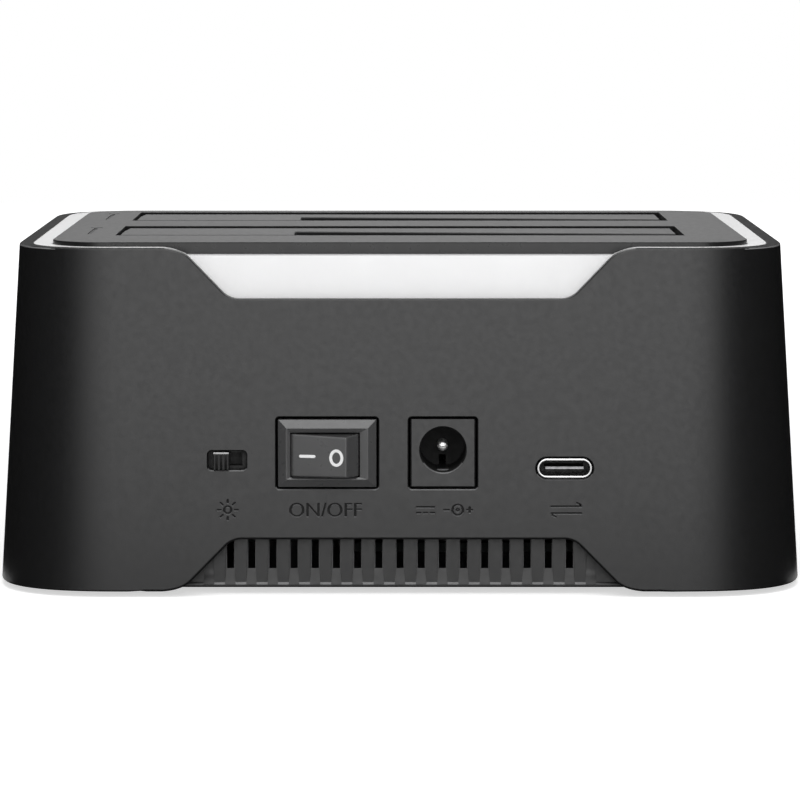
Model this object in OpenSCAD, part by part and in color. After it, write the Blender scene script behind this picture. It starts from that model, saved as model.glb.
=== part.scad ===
// Dual-bay hard drive docking station with a lit top ring and a rear port side.
// Millimetres. Origin on the floor at the centre of the footprint.
// +X is to the right when facing the ports, -Y points out of the port side, +Z is up.

/* [Sleeve] */
// Width of the sleeve at its bottom edge
body_w = 143.8; // [141.2:0.2:150.2]
// Depth of the sleeve at its bottom edge
body_d = 118.8; // [117.8:0.2:124.2]
// Height of the sleeve from its bottom edge to the rim
sleeve_h = 60.1; // [59:0.1:64]
// Inward lean of each wall from bottom to rim
draft = 3.7; // [3.1:0.1:4.3]
// Plan radius of the corners at the rim
corner_r = 15.5; // [14:0.5:17]
// Wall thickness of the sleeve
wall = 2.35; // [2:0.05:2.6]
// Bevel on the outer edge of the rim
rim_bevel = 0.5; // [0.3:0.05:0.7]
// Bevel on the outer bottom edge
foot_bevel = 0.9; // [0.5:0.05:1.2]

/* [Notch and arch] */
// Half width of the light notch where its slopes would meet the rim
notch_half = 37.9; // [35:0.1:40]
// Half width of the light notch where its slopes would meet its floor
notch_floor_half = 30; // [27:0.1:32]
// Depth of the light notch below the rim
notch_depth = 8.7; // [7:0.1:9.5]
// Rounding at the top of each notch slope
notch_top_r = 9.5; // [7:0.5:11]
// Rounding at the foot of each notch slope
notch_floor_r = 4.3; // [3:0.1:5]
// Height of the vent arch above the bottom edge
arch_h = 9.2; // [8:0.1:9.8]

/* [Top] */
// Distance from the rim edge to the edge of the top plate
band = 6.2; // [5.8:0.1:6.6]
// Height of the top plate above the rim
plate_rise = 0.9; // [0.7:0.05:1.2]
// Thickness of the top plate
plate_t = 2.1; // [1.9:0.05:2.4]
// Drop from the plate face to the top of the light ring
ring_drop = 0.65; // [0.5:0.05:0.8]

/* [Drive bays] */
// Width of each drive opening
slot_w = 103.5; // [102.6:0.1:104]
// Depth of each drive opening
slot_d = 28; // [27.2:0.1:28.4]
// Distance between the two openings
bay_gap = 17.3; // [16.8:0.1:18.4]
// Distance from the front opening to the front edge of the plate
front_land = 6.5; // [6.1:0.1:7.5]
// Width of the narrow drive slit left by each flap
slit_w = 71; // [70.4:0.1:72]
// Depth of the narrow drive slit
slit_d = 10.6; // [9.8:0.1:11]
// Drop of the flap face below the plate face
flap_drop = 0.4; // [0.3:0.05:0.5]
// Thickness of the flap panel
flap_t = 1.6; // [1.4:0.05:1.7]
// Radius of the hinge pins
pin_r = 1; // [0.8:0.05:1.05]

/* [Ports] */
// Height of the rocker centre above the floor
rocker_z = 25.4; // [25:0.1:27]
// Distance of the rocker centre from the middle, to the left
rocker_x = 12.8; // [12:0.1:13.2]
// Rest angle of the rocker
rocker_tilt = 12; // [9:0.5:13]
// Distance of the power inlet from the middle, to the right
jack_x = 7.55; // [7.2:0.05:8.5]
// Height of the power inlet centre above the floor
jack_z = 25.4; // [25:0.1:26.4]
// Distance of the data port from the middle, to the right
usb_x = 28.95; // [27:0.05:31]
// Height of the data port centre above the floor
usb_z = 22.75; // [22:0.05:24.5]
// Distance of the light switch from the middle, to the left
slide_x = 30.4; // [29.6:0.1:32]
// Height of the light switch centre above the floor
slide_z = 24.1; // [23.4:0.1:25.5]
// Travel of the light switch knob
slide_travel = 2; // [1.6:0.1:2.2]

/* [Base] */
// Height of the feet below the sleeve
foot_proud = 1; // [0.6:0.1:1.5]
// Radius of each foot
foot_r = 6; // [5:0.1:7]
// Number of vent slots in each arch
vent_count = 19; // [15:2:19]
// Distance from one vent slot to the next
vent_pitch = 3.67; // [3.4:0.01:3.8]
// Width of each vent slot
vent_w = 1.3; // [1:0.05:1.6]

/* [Hidden] */
$fn = 48;

// clearances
eps = 0.02;        // overlap of solids joined inside one piece
fit = 0.1;         // gap between fixed pieces
play = 0.3;        // gap around moving pieces
run = 0.05;        // radial gap of a turning bore on its pin

// heights of the stack
shell_z = foot_proud;
rim_z = shell_z + sleeve_h;
plate_z = rim_z + plate_rise;
under_z = plate_z - plate_t;
ring_z = plate_z - ring_drop;
ring_foot_z = rim_z - notch_depth - 2.8;
base_z = shell_z + 0.2;
floor_t = 2;
floor_z = base_z + floor_t;
pan_z = shell_z + arch_h + 2.2;

// plan of the sleeve: a rectangle of corner centres grown by a radius
cx = body_w / 2 - draft - corner_r;
cy = body_d / 2 - draft - corner_r;
plate_r = corner_r - band;
plate_x = cx + plate_r;
plate_y = cy + plate_r;
ring_lip = 1;
plate_edge = 0.3;
pan_inset = 4;
pan_wall = 2.2;
sill_in = 0.4;
sill_z = base_z + 0.9;
function r_at(z) = corner_r + draft * (rim_z - z) / sleeve_h;
function face_y(z) = -(cy + r_at(z));

// drive bays
front_slot_y = plate_y - front_land - slot_d;
rear_slot_y = front_slot_y - bay_gap - slot_d;
flap_z = plate_z - flap_drop;
barrel_r = pin_r + 0.6;
pin_z = under_z - barrel_r - play;
pin_back = flap_z - pin_z - 0.4;
flap_end = 0.8;
stop_x = [-44, -30];
stop_t = 1.1;
stop_reach = 1.2;
stop_in = 3;
stop_room = 0.6;
well_t = 1.6;
well_slack = 1.6;
well_x = slot_w / 2 + 0.45;
well_z = floor_z + 9.2;
well_floor_z = well_z + well_t;
hinge_cut_z = pin_z - 7.6;
leg_r = 3.4;
leg_x = well_x - leg_r - 0.4;
lug_x = 24;
lug_half = 3;
lug_z = hinge_cut_z;
lug_t = 2.6;
boss_r = 2.8;
function lug_y(y) = y - well_slack - well_t - lug_half;
knuckle_w = 6;
knuckle_side = 41;
knuckle_x = [-knuckle_side, 0, knuckle_side];
ear_t = 1.6;
ear_x = knuckle_side + knuckle_w / 2 + play;
coil_mean_r = pin_r + 0.6;
wire_r = 0.28;
coil_turns = 4;
coil_pitch = 0.9;
coil_x = -36.5;
spring_leg = [3, 9];

// boards
board_t = 1.6;
board_z = floor_z + 3.2;
board_top = board_z + board_t;
jack_stand = 7;
port_board_top = jack_z - jack_stand;
port_board_z = port_board_top - board_t;
sata_x = 29;
sata_w = 42;
sata_d = 6;
sata_h = 10.5;
sata_back = 5;
screw_r = 1.2;
head_r = 2.3;
head_h = 1.3;
base_head_r = 2.5;
base_screw_l = 8;
board_hole_x = 47;
board_edge = 2.85;
board_y0 = rear_slot_y - well_slack - 2;
board_y1 = front_slot_y + slot_d + 3;
post_in = 12.3;
post = [41, body_d / 2 - post_in];
post_r = 3;

// rocker, in its own frame on the sleeve face
bezel_w = 18;
bezel_h = 12.6;
bezel_out = 1.3;
bezel_bevel = 1.55;
bezel_bevel_h = 1.15;
bezel_seat = 0.8;
port_gap = 0.28;
rocker_in = 2;
rocker_face = 4.8;
rocker_half = 5.1;
rocker_h = 8;
rocker_root = [6, 0.2];
rocker_tail = [4.6, 2.4];
rocker_pocket = [12.7, 8.6];
rocker_pocket_d = 9;
rocker_body = [15.6, 10.6, 14];
rocker_y = face_y(rocker_z);
bezel_seat_y = rocker_y + bezel_seat;
rocker_tip = rocker_half * sin(rocker_tilt) + rocker_face * cos(rocker_tilt) - rocker_in;
stub_r = 1.1;
stub_h = 0.9;
blade = [0.8, 6, 4.8];
blade_x = 3.4;

// power inlet
jack_w = 12.1;
jack_h = 12.75;
jack_len = 14;
jack_bore_r = 3.2;
jack_mouth_r = 4;
jack_bore_z = jack_z + 0.4;
jack_pin_r = 1.05;
jack_y = face_y(jack_z);

// data port
usb_w = 9.7;
usb_h = 3.7;
usb_wall = 0.52;
usb_len = 8;
usb_y = face_y(usb_z) - 0.25;

// light switch
slide_win = [6.8, 3.6];
knob_w = 2.7;
knob_h = 3.1;
slide_y = face_y(slide_z);
slide_can = [8.7, 4.5, 4];
slide_can_y = slide_y + wall + 0.5;
knob_rest_x = -slide_x - slide_travel / 2;

// the raised rocker end reaches past the sleeve, so the footprint is centred again
overhang = rocker_tip - rocker_y - body_d / 2;
shift_y = max(0, overhang) / 2;

// solid grown from the corner centres, radius r0 at z0 and r1 at z1
module block(z0, z1, r0, r1) {
    h = z1 - z0;
    for (sx = [-1, 1], sy = [-1, 1])
        translate([sx * cx, sy * cy, z0])
            cylinder(h = h, r1 = r0, r2 = r1);
    translate([-cx, 0, 0])
        rotate([90, 0, 90])
            linear_extrude(2 * cx)
                polygon([[-cy - r0, z0], [cy + r0, z0], [cy + r1, z1], [-cy - r1, z1]]);
    translate([0, cy, 0])
        rotate([90, 0, 0])
            linear_extrude(2 * cy)
                polygon([[-cx - r0, z0], [cx + r0, z0], [cx + r1, z1], [-cx - r1, z1]]);
}

// the same solid with the lean of the sleeve, set in by a distance
module sleeve(z0, z1, inset) {
    block(z0, z1, r_at(z0) - inset, r_at(z1) - inset);
}

// outline of the notch: slopes rounded at both ends, depth d below z = 0, open above
slope = atan(notch_depth / (notch_half - notch_floor_half));
function s_half(d) = let (
    run_x = d / tan(slope),
    floor_half = notch_half - run_x,
    t1 = notch_top_r * tan(slope / 2),
    t2 = notch_floor_r * tan(slope / 2))
    concat(
        [for (i = [0:10]) let (a = 90 + slope * i / 10)
            [notch_half + t1 + notch_top_r * cos(a), notch_top_r * (sin(a) - 1)]],
        [for (i = [0:8]) let (a = slope - 90 - slope * i / 8)
            [floor_half - t2 + notch_floor_r * cos(a), notch_floor_r * (sin(a) + 1) - d]]);
function s_outline(d) = let (
    half = s_half(d),
    n = len(half),
    top = half[0][0])
    concat([[-top, 4], [top, 4]], half, [for (i = [n - 1:-1:0]) [-half[i][0], half[i][1]]]);

// notch prism through one wall: side -1 for the rear, 1 for the front, up 1 or -1
module s_cut(side, up, z, d, reach) {
    y0 = side < 0 ? -body_d : cy;
    translate([0, y0 + body_d - cy, z])
        rotate([90, 0, 0])
            linear_extrude(body_d - cy)
                scale([1, up])
                    polygon(s_outline(d));
}

module box(x0, x1, y0, y1, z0, z1) {
    translate([x0, y0, z0])
        cube([x1 - x0, y1 - y0, z1 - z0]);
}

// flat oval prism along Y
module oval(x, z, w, h, y0, y1) {
    box(x - (w - h) / 2, x + (w - h) / 2, y0, y1, z - h / 2, z + h / 2);
    for (s = [-1, 1])
        translate([x + s * (w - h) / 2, y1, z])
            rotate([90, 0, 0])
                cylinder(h = y1 - y0, r = h / 2);
}

// rounded rectangle prism along Y
module round_hole(x, z, w, h, r, y0, y1) {
    box(x - w / 2 + r, x + w / 2 - r, y0, y1, z - h / 2, z + h / 2);
    box(x - w / 2, x + w / 2, y0, y1, z - h / 2 + r, z + h / 2 - r);
    for (sx = [-1, 1], sz = [-1, 1])
        y_hole(x + sx * (w / 2 - r), z + sz * (h / 2 - r), r, y0, y1);
}

module y_hole(x, z, r, y0, y1) {
    translate([x, y1, z])
        rotate([90, 0, 0])
            cylinder(h = y1 - y0, r = r);
}

module outer_shell() {
    ledge_t = 2;
    lug_w = 7;
    color([0.09, 0.09, 0.1]) {
        difference() {
            union() {
                block(shell_z, shell_z + foot_bevel, r_at(shell_z) - foot_bevel, r_at(shell_z + foot_bevel));
                sleeve(shell_z + foot_bevel, rim_z - rim_bevel, 0);
                block(rim_z - rim_bevel, rim_z, r_at(rim_z - rim_bevel), r_at(rim_z) - rim_bevel);
            }
            sleeve(shell_z - 1, rim_z + 1, wall + 3.2);
            sleeve(shell_z - 2, ring_foot_z - ledge_t, wall);
            sleeve(ring_foot_z, rim_z + 2, wall);
            for (side = [-1, 1]) {
                s_cut(side, 1, rim_z, notch_depth);
                s_cut(side, -1, shell_z, arch_h);
            }
            shell_ports();
        }
        // hooks that rest on the top edge of the base tray
        for (sx = [-1, 1], y = [-26, 26]) {
            x0 = cx + r_at(pan_z) - pan_inset - pan_wall / 2;
            x1 = cx + r_at(pan_z) - wall / 2;
            box(min(sx * x0, sx * x1), max(sx * x0, sx * x1), y - lug_w / 2, y + lug_w / 2, pan_z, pan_z + 3);
        }
    }
}

// openings in the rear wall
module shell_ports() {
    y0 = -body_d;
    y1 = rear_in + 2;
    round_hole(-slide_x, slide_z, slide_win[0], slide_win[1], 0.7, y0, y1);
    box(-rocker_x - bezel_w / 2 - port_gap, -rocker_x + bezel_w / 2 + port_gap, y0, bezel_seat_y,
        rocker_z - bezel_h / 2 - port_gap, rocker_z + bezel_h / 2 + port_gap);
    box(-rocker_x - rocker_body[0] / 2 - fit, -rocker_x + rocker_body[0] / 2 + fit, y0, y1,
        rocker_z - rocker_body[1] / 2 - fit, rocker_z + rocker_body[1] / 2 + fit);
    box(jack_x - jack_w / 2 - port_gap, jack_x + jack_w / 2 + port_gap, y0, y1,
        jack_z - jack_h / 2 - port_gap, jack_z + jack_h / 2 + port_gap);
    oval(usb_x, usb_z, usb_w + 3 * fit, usb_h + 3 * fit, y0, y1);
}

module light_ring() {
    color([0.92, 0.92, 0.93])
        difference() {
            sleeve(ring_foot_z, ring_z, wall + fit);
            block(ring_foot_z - 1, under_z + eps, plate_r - ring_lip, plate_r - ring_lip);
            block(under_z, ring_z + 1, plate_r + fit, plate_r + fit);
            for (side = [-1, 1])
                s_cut(side, 1, rim_z, rim_z - under_z);
        }
}

module top_plate() {
    color([0.2, 0.2, 0.21])
        difference() {
            union() {
                block(under_z, plate_z - plate_edge, plate_r, plate_r);
                block(plate_z - plate_edge, plate_z, plate_r, plate_r - plate_edge);
                for (y = [rear_slot_y, front_slot_y], s = [-1, 1]) {
                    x = s > 0 ? ear_x : -ear_x - ear_t;
                    py = y + slot_d + pin_back;
                    box(x, x + ear_t, py - barrel_r, py + barrel_r, pin_z - barrel_r, under_z + eps);
                    translate([s * lug_x, lug_y(y), lug_z + lug_t])
                        cylinder(h = under_z + eps - lug_z - lug_t, r = boss_r);
                }
            }
            for (y = [rear_slot_y, front_slot_y]) {
                box(-slot_w / 2, slot_w / 2, y, y + slot_d, under_z - 1, plate_z + 1);
                hinge_bore(y, pin_r + eps, ear_x + ear_t + 1);
                for (s = [-1, 1])
                    translate([s * lug_x, lug_y(y), lug_z])
                        cylinder(h = under_z - lug_z - 0.6, r = screw_r + run);
            }
        }
}

// hole along a hinge line, reaching half on both sides of the middle
module hinge_bore(y, r, half) {
    translate([-half, y + slot_d + pin_back, pin_z])
        rotate([0, 90, 0])
            cylinder(h = 2 * half, r = r);
}

module bay_flap(y) {
    py = y + slot_d + pin_back;
    x1 = slot_w / 2 - flap_end;
    y0 = y + 0.45;
    y1 = y + slot_d - 0.4;
    bottom = flap_z - flap_t;
    slit_x = slot_w / 2 - slit_w;
    color([0.19, 0.19, 0.2])
        difference() {
            union() {
                box(-x1, x1, y + slit_d, y1, bottom, flap_z);
                box(-x1, slit_x, y0, y + slit_d + eps, bottom, flap_z);
                // stop tab below the plate edge
                box(stop_x[0], stop_x[1], y - stop_reach, y + stop_in, under_z - play - stop_t, under_z - play);
                box(stop_x[0], stop_x[1], y + 0.6, y + stop_in, under_z - play - eps, bottom + eps);
                for (x = knuckle_x)
                    knuckle(x, py, bottom);
            }
            hinge_bore(y, pin_r + run, slot_w);
        }
}

// hinge knuckle: barrel on the pin and a web up to the panel
module knuckle(x, py, bottom) {
    up = bottom - pin_z + 0.2;
    front = pin_back + 0.4;
    translate([x - knuckle_w / 2, py, pin_z])
        rotate([90, 0, 90])
            linear_extrude(knuckle_w) {
                circle(barrel_r);
                polygon([[-7, up], [-front, up], [-front, barrel_r - 0.1], [0, barrel_r - 0.1], [0, 0.05 - barrel_r]]);
            }
}

module rear_bay_flap() {
    bay_flap(rear_slot_y);
}

module front_bay_flap() {
    bay_flap(front_slot_y);
}

module flap_pin(y) {
    half = ear_x + ear_t;
    color([0.72, 0.73, 0.75])
        translate([-half, y + slot_d + pin_back, pin_z])
            rotate([0, 90, 0])
                cylinder(h = 2 * half, r = pin_r);
}

module rear_flap_pin() {
    flap_pin(rear_slot_y);
}

module front_flap_pin() {
    flap_pin(front_slot_y);
}

// closing spring: an open coil round the pin with a fixed leg and a leg under the flap
coil_steps = 12;
function coil_point(a) = [coil_x + coil_pitch * a / 360, coil_mean_r * cos(a), coil_mean_r * sin(a)];
coil_path = concat(
    [[coil_x, coil_mean_r, under_z - pin_z - wire_r - 0.05]],
    [for (i = [0:coil_turns * coil_steps]) coil_point(-360 * i / coil_steps) + [2 * coil_pitch * i / coil_steps, 0, 0]],
    [[coil_x + coil_pitch * coil_turns, coil_mean_r, -coil_mean_r - 0.2],
     [coil_x + coil_pitch * coil_turns, -spring_leg[0], -coil_mean_r - 0.2],
     [coil_x + coil_pitch * coil_turns, -spring_leg[1], under_z - pin_z - 0.4 - wire_r]]);

// tube of a given radius swept along points, with flat ends
module sweep(path, r, sides) {
    n = len(path);
    tangent = [for (i = [0:n - 1]) path[min(i + 1, n - 1)] - path[max(i - 1, 0)]];
    points = [for (i = [0:n - 1]) let (
        t = tangent[i] / norm(tangent[i]),
        u0 = cross(t, [1, 0.001, 0]),
        u = u0 / norm(u0),
        v = cross(t, u))
        for (k = [0:sides - 1]) path[i] + r * (cos(360 * k / sides) * u + sin(360 * k / sides) * v)];
    faces = concat(
        [[for (k = [0:sides - 1]) k]],
        [for (i = [0:n - 2], k = [0:sides - 1]) let (k2 = (k + 1) % sides)
            [i * sides + k, (i + 1) * sides + k, (i + 1) * sides + k2, i * sides + k2]],
        [[for (k = [sides - 1:-1:0]) (n - 1) * sides + k]]);
    polyhedron(points, faces, convexity = 6);
}

module flap_spring(y) {
    color([0.6, 0.61, 0.63])
        translate([0, y + slot_d + pin_back, pin_z])
            sweep(coil_path, wire_r, 6);
}

module rear_flap_spring() {
    flap_spring(rear_slot_y);
}

module front_flap_spring() {
    flap_spring(front_slot_y);
}

module drive_well(y) {
    x1 = well_x;
    y0 = y - well_slack;
    y1 = y + slot_d + well_slack;
    yc = y + slot_d / 2;
    color([0.12, 0.12, 0.13])
        difference() {
            union() {
                box(-x1 - well_t, x1 + well_t, y0 - well_t, y1 + well_t, well_z, under_z);
                for (s = [-1, 1]) {
                    translate([s * leg_x, yc, floor_z])
                        cylinder(h = well_floor_z - floor_z - eps, r = leg_r);
                    box(s * lug_x - lug_half, s * lug_x + lug_half, lug_y(y) - lug_half, y0 - well_t + eps,
                        lug_z, lug_z + lug_t);
                }
            }
            box(-x1, x1, y0, y1, well_floor_z, under_z + 1);
            box(-x1 - 3, x1 + 3, y + slot_d - 8, y1 + 3, hinge_cut_z, under_z + 1);
            box(sata_x - sata_w / 2 - 0.5, sata_x + sata_w / 2 + 0.5, y + sata_back - sata_d / 2 - 0.5,
                y + sata_back + sata_d / 2 + 0.5, well_z - 1, well_floor_z + 1);
            // window for the stop tab of the open flap
            box(stop_x[0] - stop_room, stop_x[1] + stop_room, y1 - 1, y1 + well_t + 1,
                pin_z - slot_d - pin_back - stop_reach - stop_room, pin_z - slot_d - pin_back + stop_in + stop_room);
            for (s = [-1, 1]) {
                translate([s * leg_x, yc, floor_z - 1])
                    cylinder(h = base_screw_l + 1, r = screw_r + run);
                translate([s * lug_x, lug_y(y), lug_z - 1])
                    cylinder(h = lug_t + 2, r = screw_r + fit);
            }
        }
}

module rear_drive_well() {
    drive_well(rear_slot_y);
}

module front_drive_well() {
    drive_well(front_slot_y);
}

// floor pan with a vented wall behind each arch
module base_tray() {
    span = (vent_count - 1) / 2;
    wall_y = cy + r_at(base_z) - pan_inset;
    color([0.1, 0.1, 0.11])
        difference() {
            union() {
                sleeve(base_z, sill_z, pan_inset);
                difference() {
                    sleeve(base_z + 0.3, pan_z, pan_inset + sill_in);
                    sleeve(floor_z, pan_z + 1, pan_inset + pan_wall);
                }
                for (sx = [-1, 1]) {
                    for (sy = [-1, 1])
                        translate([sx * board_hole_x, board_y(sy), floor_z - eps])
                            cylinder(h = board_z - floor_z + eps, r = post_r);
                    translate([sx * post[0], -post[1], floor_z - eps])
                        cylinder(h = port_board_z - floor_z + eps, r = post_r);
                }
            }
            // slots with a sill that slopes outwards
            for (side = [-1, 1], i = [-span:span])
                translate([i * vent_pitch - vent_w / 2, 0, 0])
                    rotate([90, 0, 90])
                        linear_extrude(vent_w)
                            polygon([
                                [side * (wall_y + 1), sill_z - 0.6],
                                [side * (wall_y - pan_wall - 0.6), floor_z + 1.5],
                                [side * (wall_y - pan_wall - 0.6), pan_z - 1.2],
                                [side * (wall_y + 1), pan_z - 1.2]]);
            for (sx = [-1, 1]) {
                for (sy = [-1, 1]) {
                    translate([sx * board_hole_x, board_y(sy), floor_z + 0.4])
                        cylinder(h = board_z, r = screw_r + run);
                    translate([sx * foot_x, sy * foot_y, base_z - foot_seat])
                        cylinder(h = 2 * foot_seat, r = foot_r + fit);
                }
                translate([sx * post[0], -post[1], floor_z + 2])
                    cylinder(h = port_board_z, r = screw_r + run);
                for (y = [rear_slot_y, front_slot_y]) {
                    translate([sx * leg_x, y + slot_d / 2, base_z - 1])
                        cylinder(h = floor_t + 2, r = screw_r + fit);
                    translate([sx * leg_x, y + slot_d / 2, base_z - 1])
                        cylinder(h = 2.1, r = base_head_r + fit);
                }
            }
        }
}

foot_in = [17, 16.5];
foot_edge = 0.4;
foot_seat = 1;
foot_x = body_w / 2 - foot_in[0];
foot_y = body_d / 2 - foot_in[1];
function board_y(sy) = sy < 0 ? board_y0 + board_edge : board_y1 - board_edge;

module foot(sx, sy) {
    color([0.05, 0.05, 0.05])
        translate([sx * foot_x, sy * foot_y, 0]) {
            cylinder(h = foot_edge, r1 = foot_r - foot_edge, r2 = foot_r);
            translate([0, 0, foot_edge])
                cylinder(h = base_z + foot_seat - foot_edge, r = foot_r);
        }
}

module foot_rear_left() {
    foot(-1, -1);
}

module foot_rear_right() {
    foot(1, -1);
}

module foot_front_left() {
    foot(-1, 1);
}

module foot_front_right() {
    foot(1, 1);
}

module main_board() {
    x1 = well_x - 0.5;
    color([0.05, 0.22, 0.12])
        difference() {
            union() {
                box(-x1, x1, board_y0, board_y1, board_z, board_top);
                box(link_x - 10, link_x + link_w + 10, link_y - link_d / 2 - 3, board_y0 + eps, board_z, board_top);
            }
            for (sx = [-1, 1], sy = [-1, 1])
                translate([sx * board_hole_x, board_y(sy), board_z - 1])
                    cylinder(h = board_t + 2, r = screw_r + fit);
            // edge notches round the legs of the wells
            for (sx = [-1, 1], y = [rear_slot_y, front_slot_y])
                box(sx > 0 ? leg_x - leg_room : -x1 - 1, sx > 0 ? x1 + 1 : leg_room - leg_x,
                    y + slot_d / 2 - leg_room, y + slot_d / 2 + leg_room, board_z - 1, board_top + 1);
        }
}

rear_in = face_y(rim_z) + wall;
port_board_y0 = rear_in - 0.3;
port_board_d = 16.5;
port_board_y1 = port_board_y0 + port_board_d;
leg_room = leg_r + 0.5;
link_x = 2;
link_w = 20;
link_d = 5;
link_low = 2.5;
link_high = 4;
link_in = 12;
link_y = port_board_y0 + link_in;
pin_pitch = 2.54;
pin_half = 0.32;

module port_board() {
    color([0.05, 0.22, 0.12])
        difference() {
            box(-post[0] - 4, post[0] + 4, port_board_y0, port_board_y1, port_board_z, port_board_top);
            for (sx = [-1, 1])
                translate([sx * post[0], -post[1], port_board_z - 1])
                    cylinder(h = board_t + 2, r = screw_r + fit);
        }
}

module board_link() {
    y0 = link_y - link_d / 2;
    y1 = link_y + link_d / 2;
    pins = 8;
    color([0.08, 0.08, 0.08]) {
        box(link_x, link_x + link_w, y0, y1, board_top, board_top + link_low);
        box(link_x, link_x + link_w, y0, y1, port_board_z - link_high, port_board_z);
        for (i = [0:pins - 1], r = [-1, 1]) {
            x = link_x + link_w / 2 + (i - (pins - 1) / 2) * pin_pitch;
            y = link_y + r * pin_pitch / 2;
            box(x - pin_half, x + pin_half, y - pin_half, y + pin_half,
                board_top + link_low - eps, port_board_z - link_high + eps);
        }
    }
}

// drive socket: a tall housing with a signal slot and a power slot
key_w = 2.5;
key_depth = 6.2;
signal_w = 10.6;
power_w = 20.9;

module sata_socket(y) {
    yc = y + sata_back;
    top = board_top + sata_h;
    x0 = sata_x - sata_w / 2;
    color([0.07, 0.07, 0.07])
        difference() {
            union() {
                box(x0, x0 + sata_w, yc - sata_d / 2, yc + sata_d / 2, board_top, top);
            }
            box(x0 + 3.6, x0 + 3.6 + power_w, yc - key_w / 2, yc + key_w / 2, top - key_depth, top + 1);
            box(x0 + 3.6, x0 + 4.9, yc - key_w / 2 - 1, yc, top - key_depth, top + 1);
            box(x0 + sata_w - 3.6 - signal_w, x0 + sata_w - 3.6, yc - key_w / 2, yc + key_w / 2, top - key_depth, top + 1);
            box(x0 + sata_w - 4.9, x0 + sata_w - 3.6, yc - key_w / 2 - 1, yc, top - key_depth, top + 1);
        }
}

module rear_sata_socket() {
    sata_socket(rear_slot_y);
}

module front_sata_socket() {
    sata_socket(front_slot_y);
}

module sata_contacts(y) {
    pitch = 1.27;
    yc = y + sata_back;
    top = board_top + sata_h;
    x0 = sata_x - sata_w / 2;
    color([0.85, 0.66, 0.25]) {
        for (i = [0:14])
            contact(x0 + 3.6 + power_w / 2 + (i - 7) * pitch, yc, top);
        for (i = [0:6])
            contact(x0 + sata_w - 3.6 - signal_w / 2 + (i - 3) * pitch, yc, top);
    }
}

module contact(x, yc, top) {
    box(x - 0.3, x + 0.3, yc + key_w / 2 - 0.3, yc + key_w / 2, top - key_depth, top - 0.6);
}

module rear_sata_contacts() {
    sata_contacts(rear_slot_y);
}

module front_sata_contacts() {
    sata_contacts(front_slot_y);
}

module bridge_chip() {
    y = front_slot_y + slot_d / 2 + 2;
    color([0.06, 0.06, 0.07])
        box(chip_x - bridge_w / 2, chip_x + bridge_w / 2, y - bridge_w / 2, y + bridge_w / 2,
            board_top, board_top + bridge_h);
}

mid_y = rear_slot_y + slot_d + bay_gap / 2;
chip_x = -29;
bridge_w = 10;
bridge_h = 1.2;
can_r = 3.15;
can_h = 7.4;
can_edge = 0.5;
can_x = [-32, -22];
coil_side = 6.8;
coil_foot = 0.8;
coil_h = 3.2;
choke_x = [-6, 5];

module capacitor(x) {
    color([0.62, 0.63, 0.66])
        translate([x, mid_y, board_top]) {
            cylinder(h = can_h, r = can_r);
            translate([0, 0, can_h - eps])
                cylinder(h = can_edge, r1 = can_r, r2 = can_r - can_edge);
        }
}

module capacitor_a() {
    capacitor(can_x[0]);
}

module capacitor_b() {
    capacitor(can_x[1]);
}

module coil(x) {
    half = coil_side / 2;
    color([0.2, 0.2, 0.2]) {
        box(x - half, x + half, mid_y - half, mid_y + half, board_top, board_top + coil_foot);
        translate([x, mid_y, board_top + coil_foot - eps])
            cylinder(h = coil_h, r = half);
    }
}

module coil_a() {
    coil(choke_x[0]);
}

module coil_b() {
    coil(choke_x[1]);
}

module rocker_housing() {
    bw = rocker_body[0] / 2;
    bh = rocker_body[1] / 2;
    front = rocker_y - bezel_out;
    color([0.06, 0.06, 0.06])
        translate([-rocker_x, 0, rocker_z])
            difference() {
                union() {
                    bezel(front, bezel_seat_y);
                    box(-bw, bw, rocker_y, rocker_y + rocker_body[2], -bh, bh);
                    // snap clips behind the sleeve wall
                    for (s = [-1, 1])
                        box(s > 0 ? bw - eps : -bw - 0.6, s > 0 ? bw + 0.6 : -bw + eps, rocker_y + wall + 0.5,
                            rocker_y + wall + 4, -2, 2);
                }
                box(-rocker_pocket[0] / 2, rocker_pocket[0] / 2, front - 1, rocker_y + rocker_pocket_d,
                    -rocker_pocket[1] / 2, rocker_pocket[1] / 2);
                translate([0, rocker_y + rocker_in, -rocker_h / 2 - stub_h - 0.15])
                    cylinder(h = rocker_h + 2 * stub_h + 0.3, r = stub_r + run);
                for (s = [-1, 1])
                    box(s * blade_x - blade[0] / 2 - eps, s * blade_x + blade[0] / 2 + eps,
                        rocker_y + rocker_body[2] - 3, rocker_y + rocker_body[2] + 1, -blade[2] / 2 - eps, blade[2] / 2 + eps);
            }
}

// rectangular bezel with a bevel all round its front edge
module bezel(front, back) {
    w = bezel_w / 2;
    h = bezel_h / 2;
    b = bezel_bevel;
    mid = front + bezel_bevel_h;
    intersection() {
        translate([0, 0, -h])
            linear_extrude(2 * h)
                polygon([[-w, back], [-w, mid], [b - w, front], [w - b, front], [w, mid], [w, back]]);
        translate([-w, 0, 0])
            rotate([90, 0, 90])
                linear_extrude(2 * w)
                    polygon([[back, -h], [mid, -h], [front, b - h], [front, h - b], [mid, h], [back, h]]);
    }
}

module rocker_button() {
    color([0.07, 0.07, 0.07])
        translate([-rocker_x, rocker_y + rocker_in, rocker_z])
            rotate([0, 0, -rocker_tilt]) {
                translate([0, 0, -rocker_h / 2])
                    linear_extrude(rocker_h)
                        polygon([[-rocker_half, -rocker_face], [rocker_half, -rocker_face],
                            [rocker_root[0], -rocker_root[1]], rocker_tail, [-rocker_tail[0], rocker_tail[1]],
                            [-rocker_root[0], -rocker_root[1]]]);
                translate([0, 0, -rocker_h / 2 - stub_h])
                    cylinder(h = rocker_h + 2 * stub_h, r = stub_r);
            }
}

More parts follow.
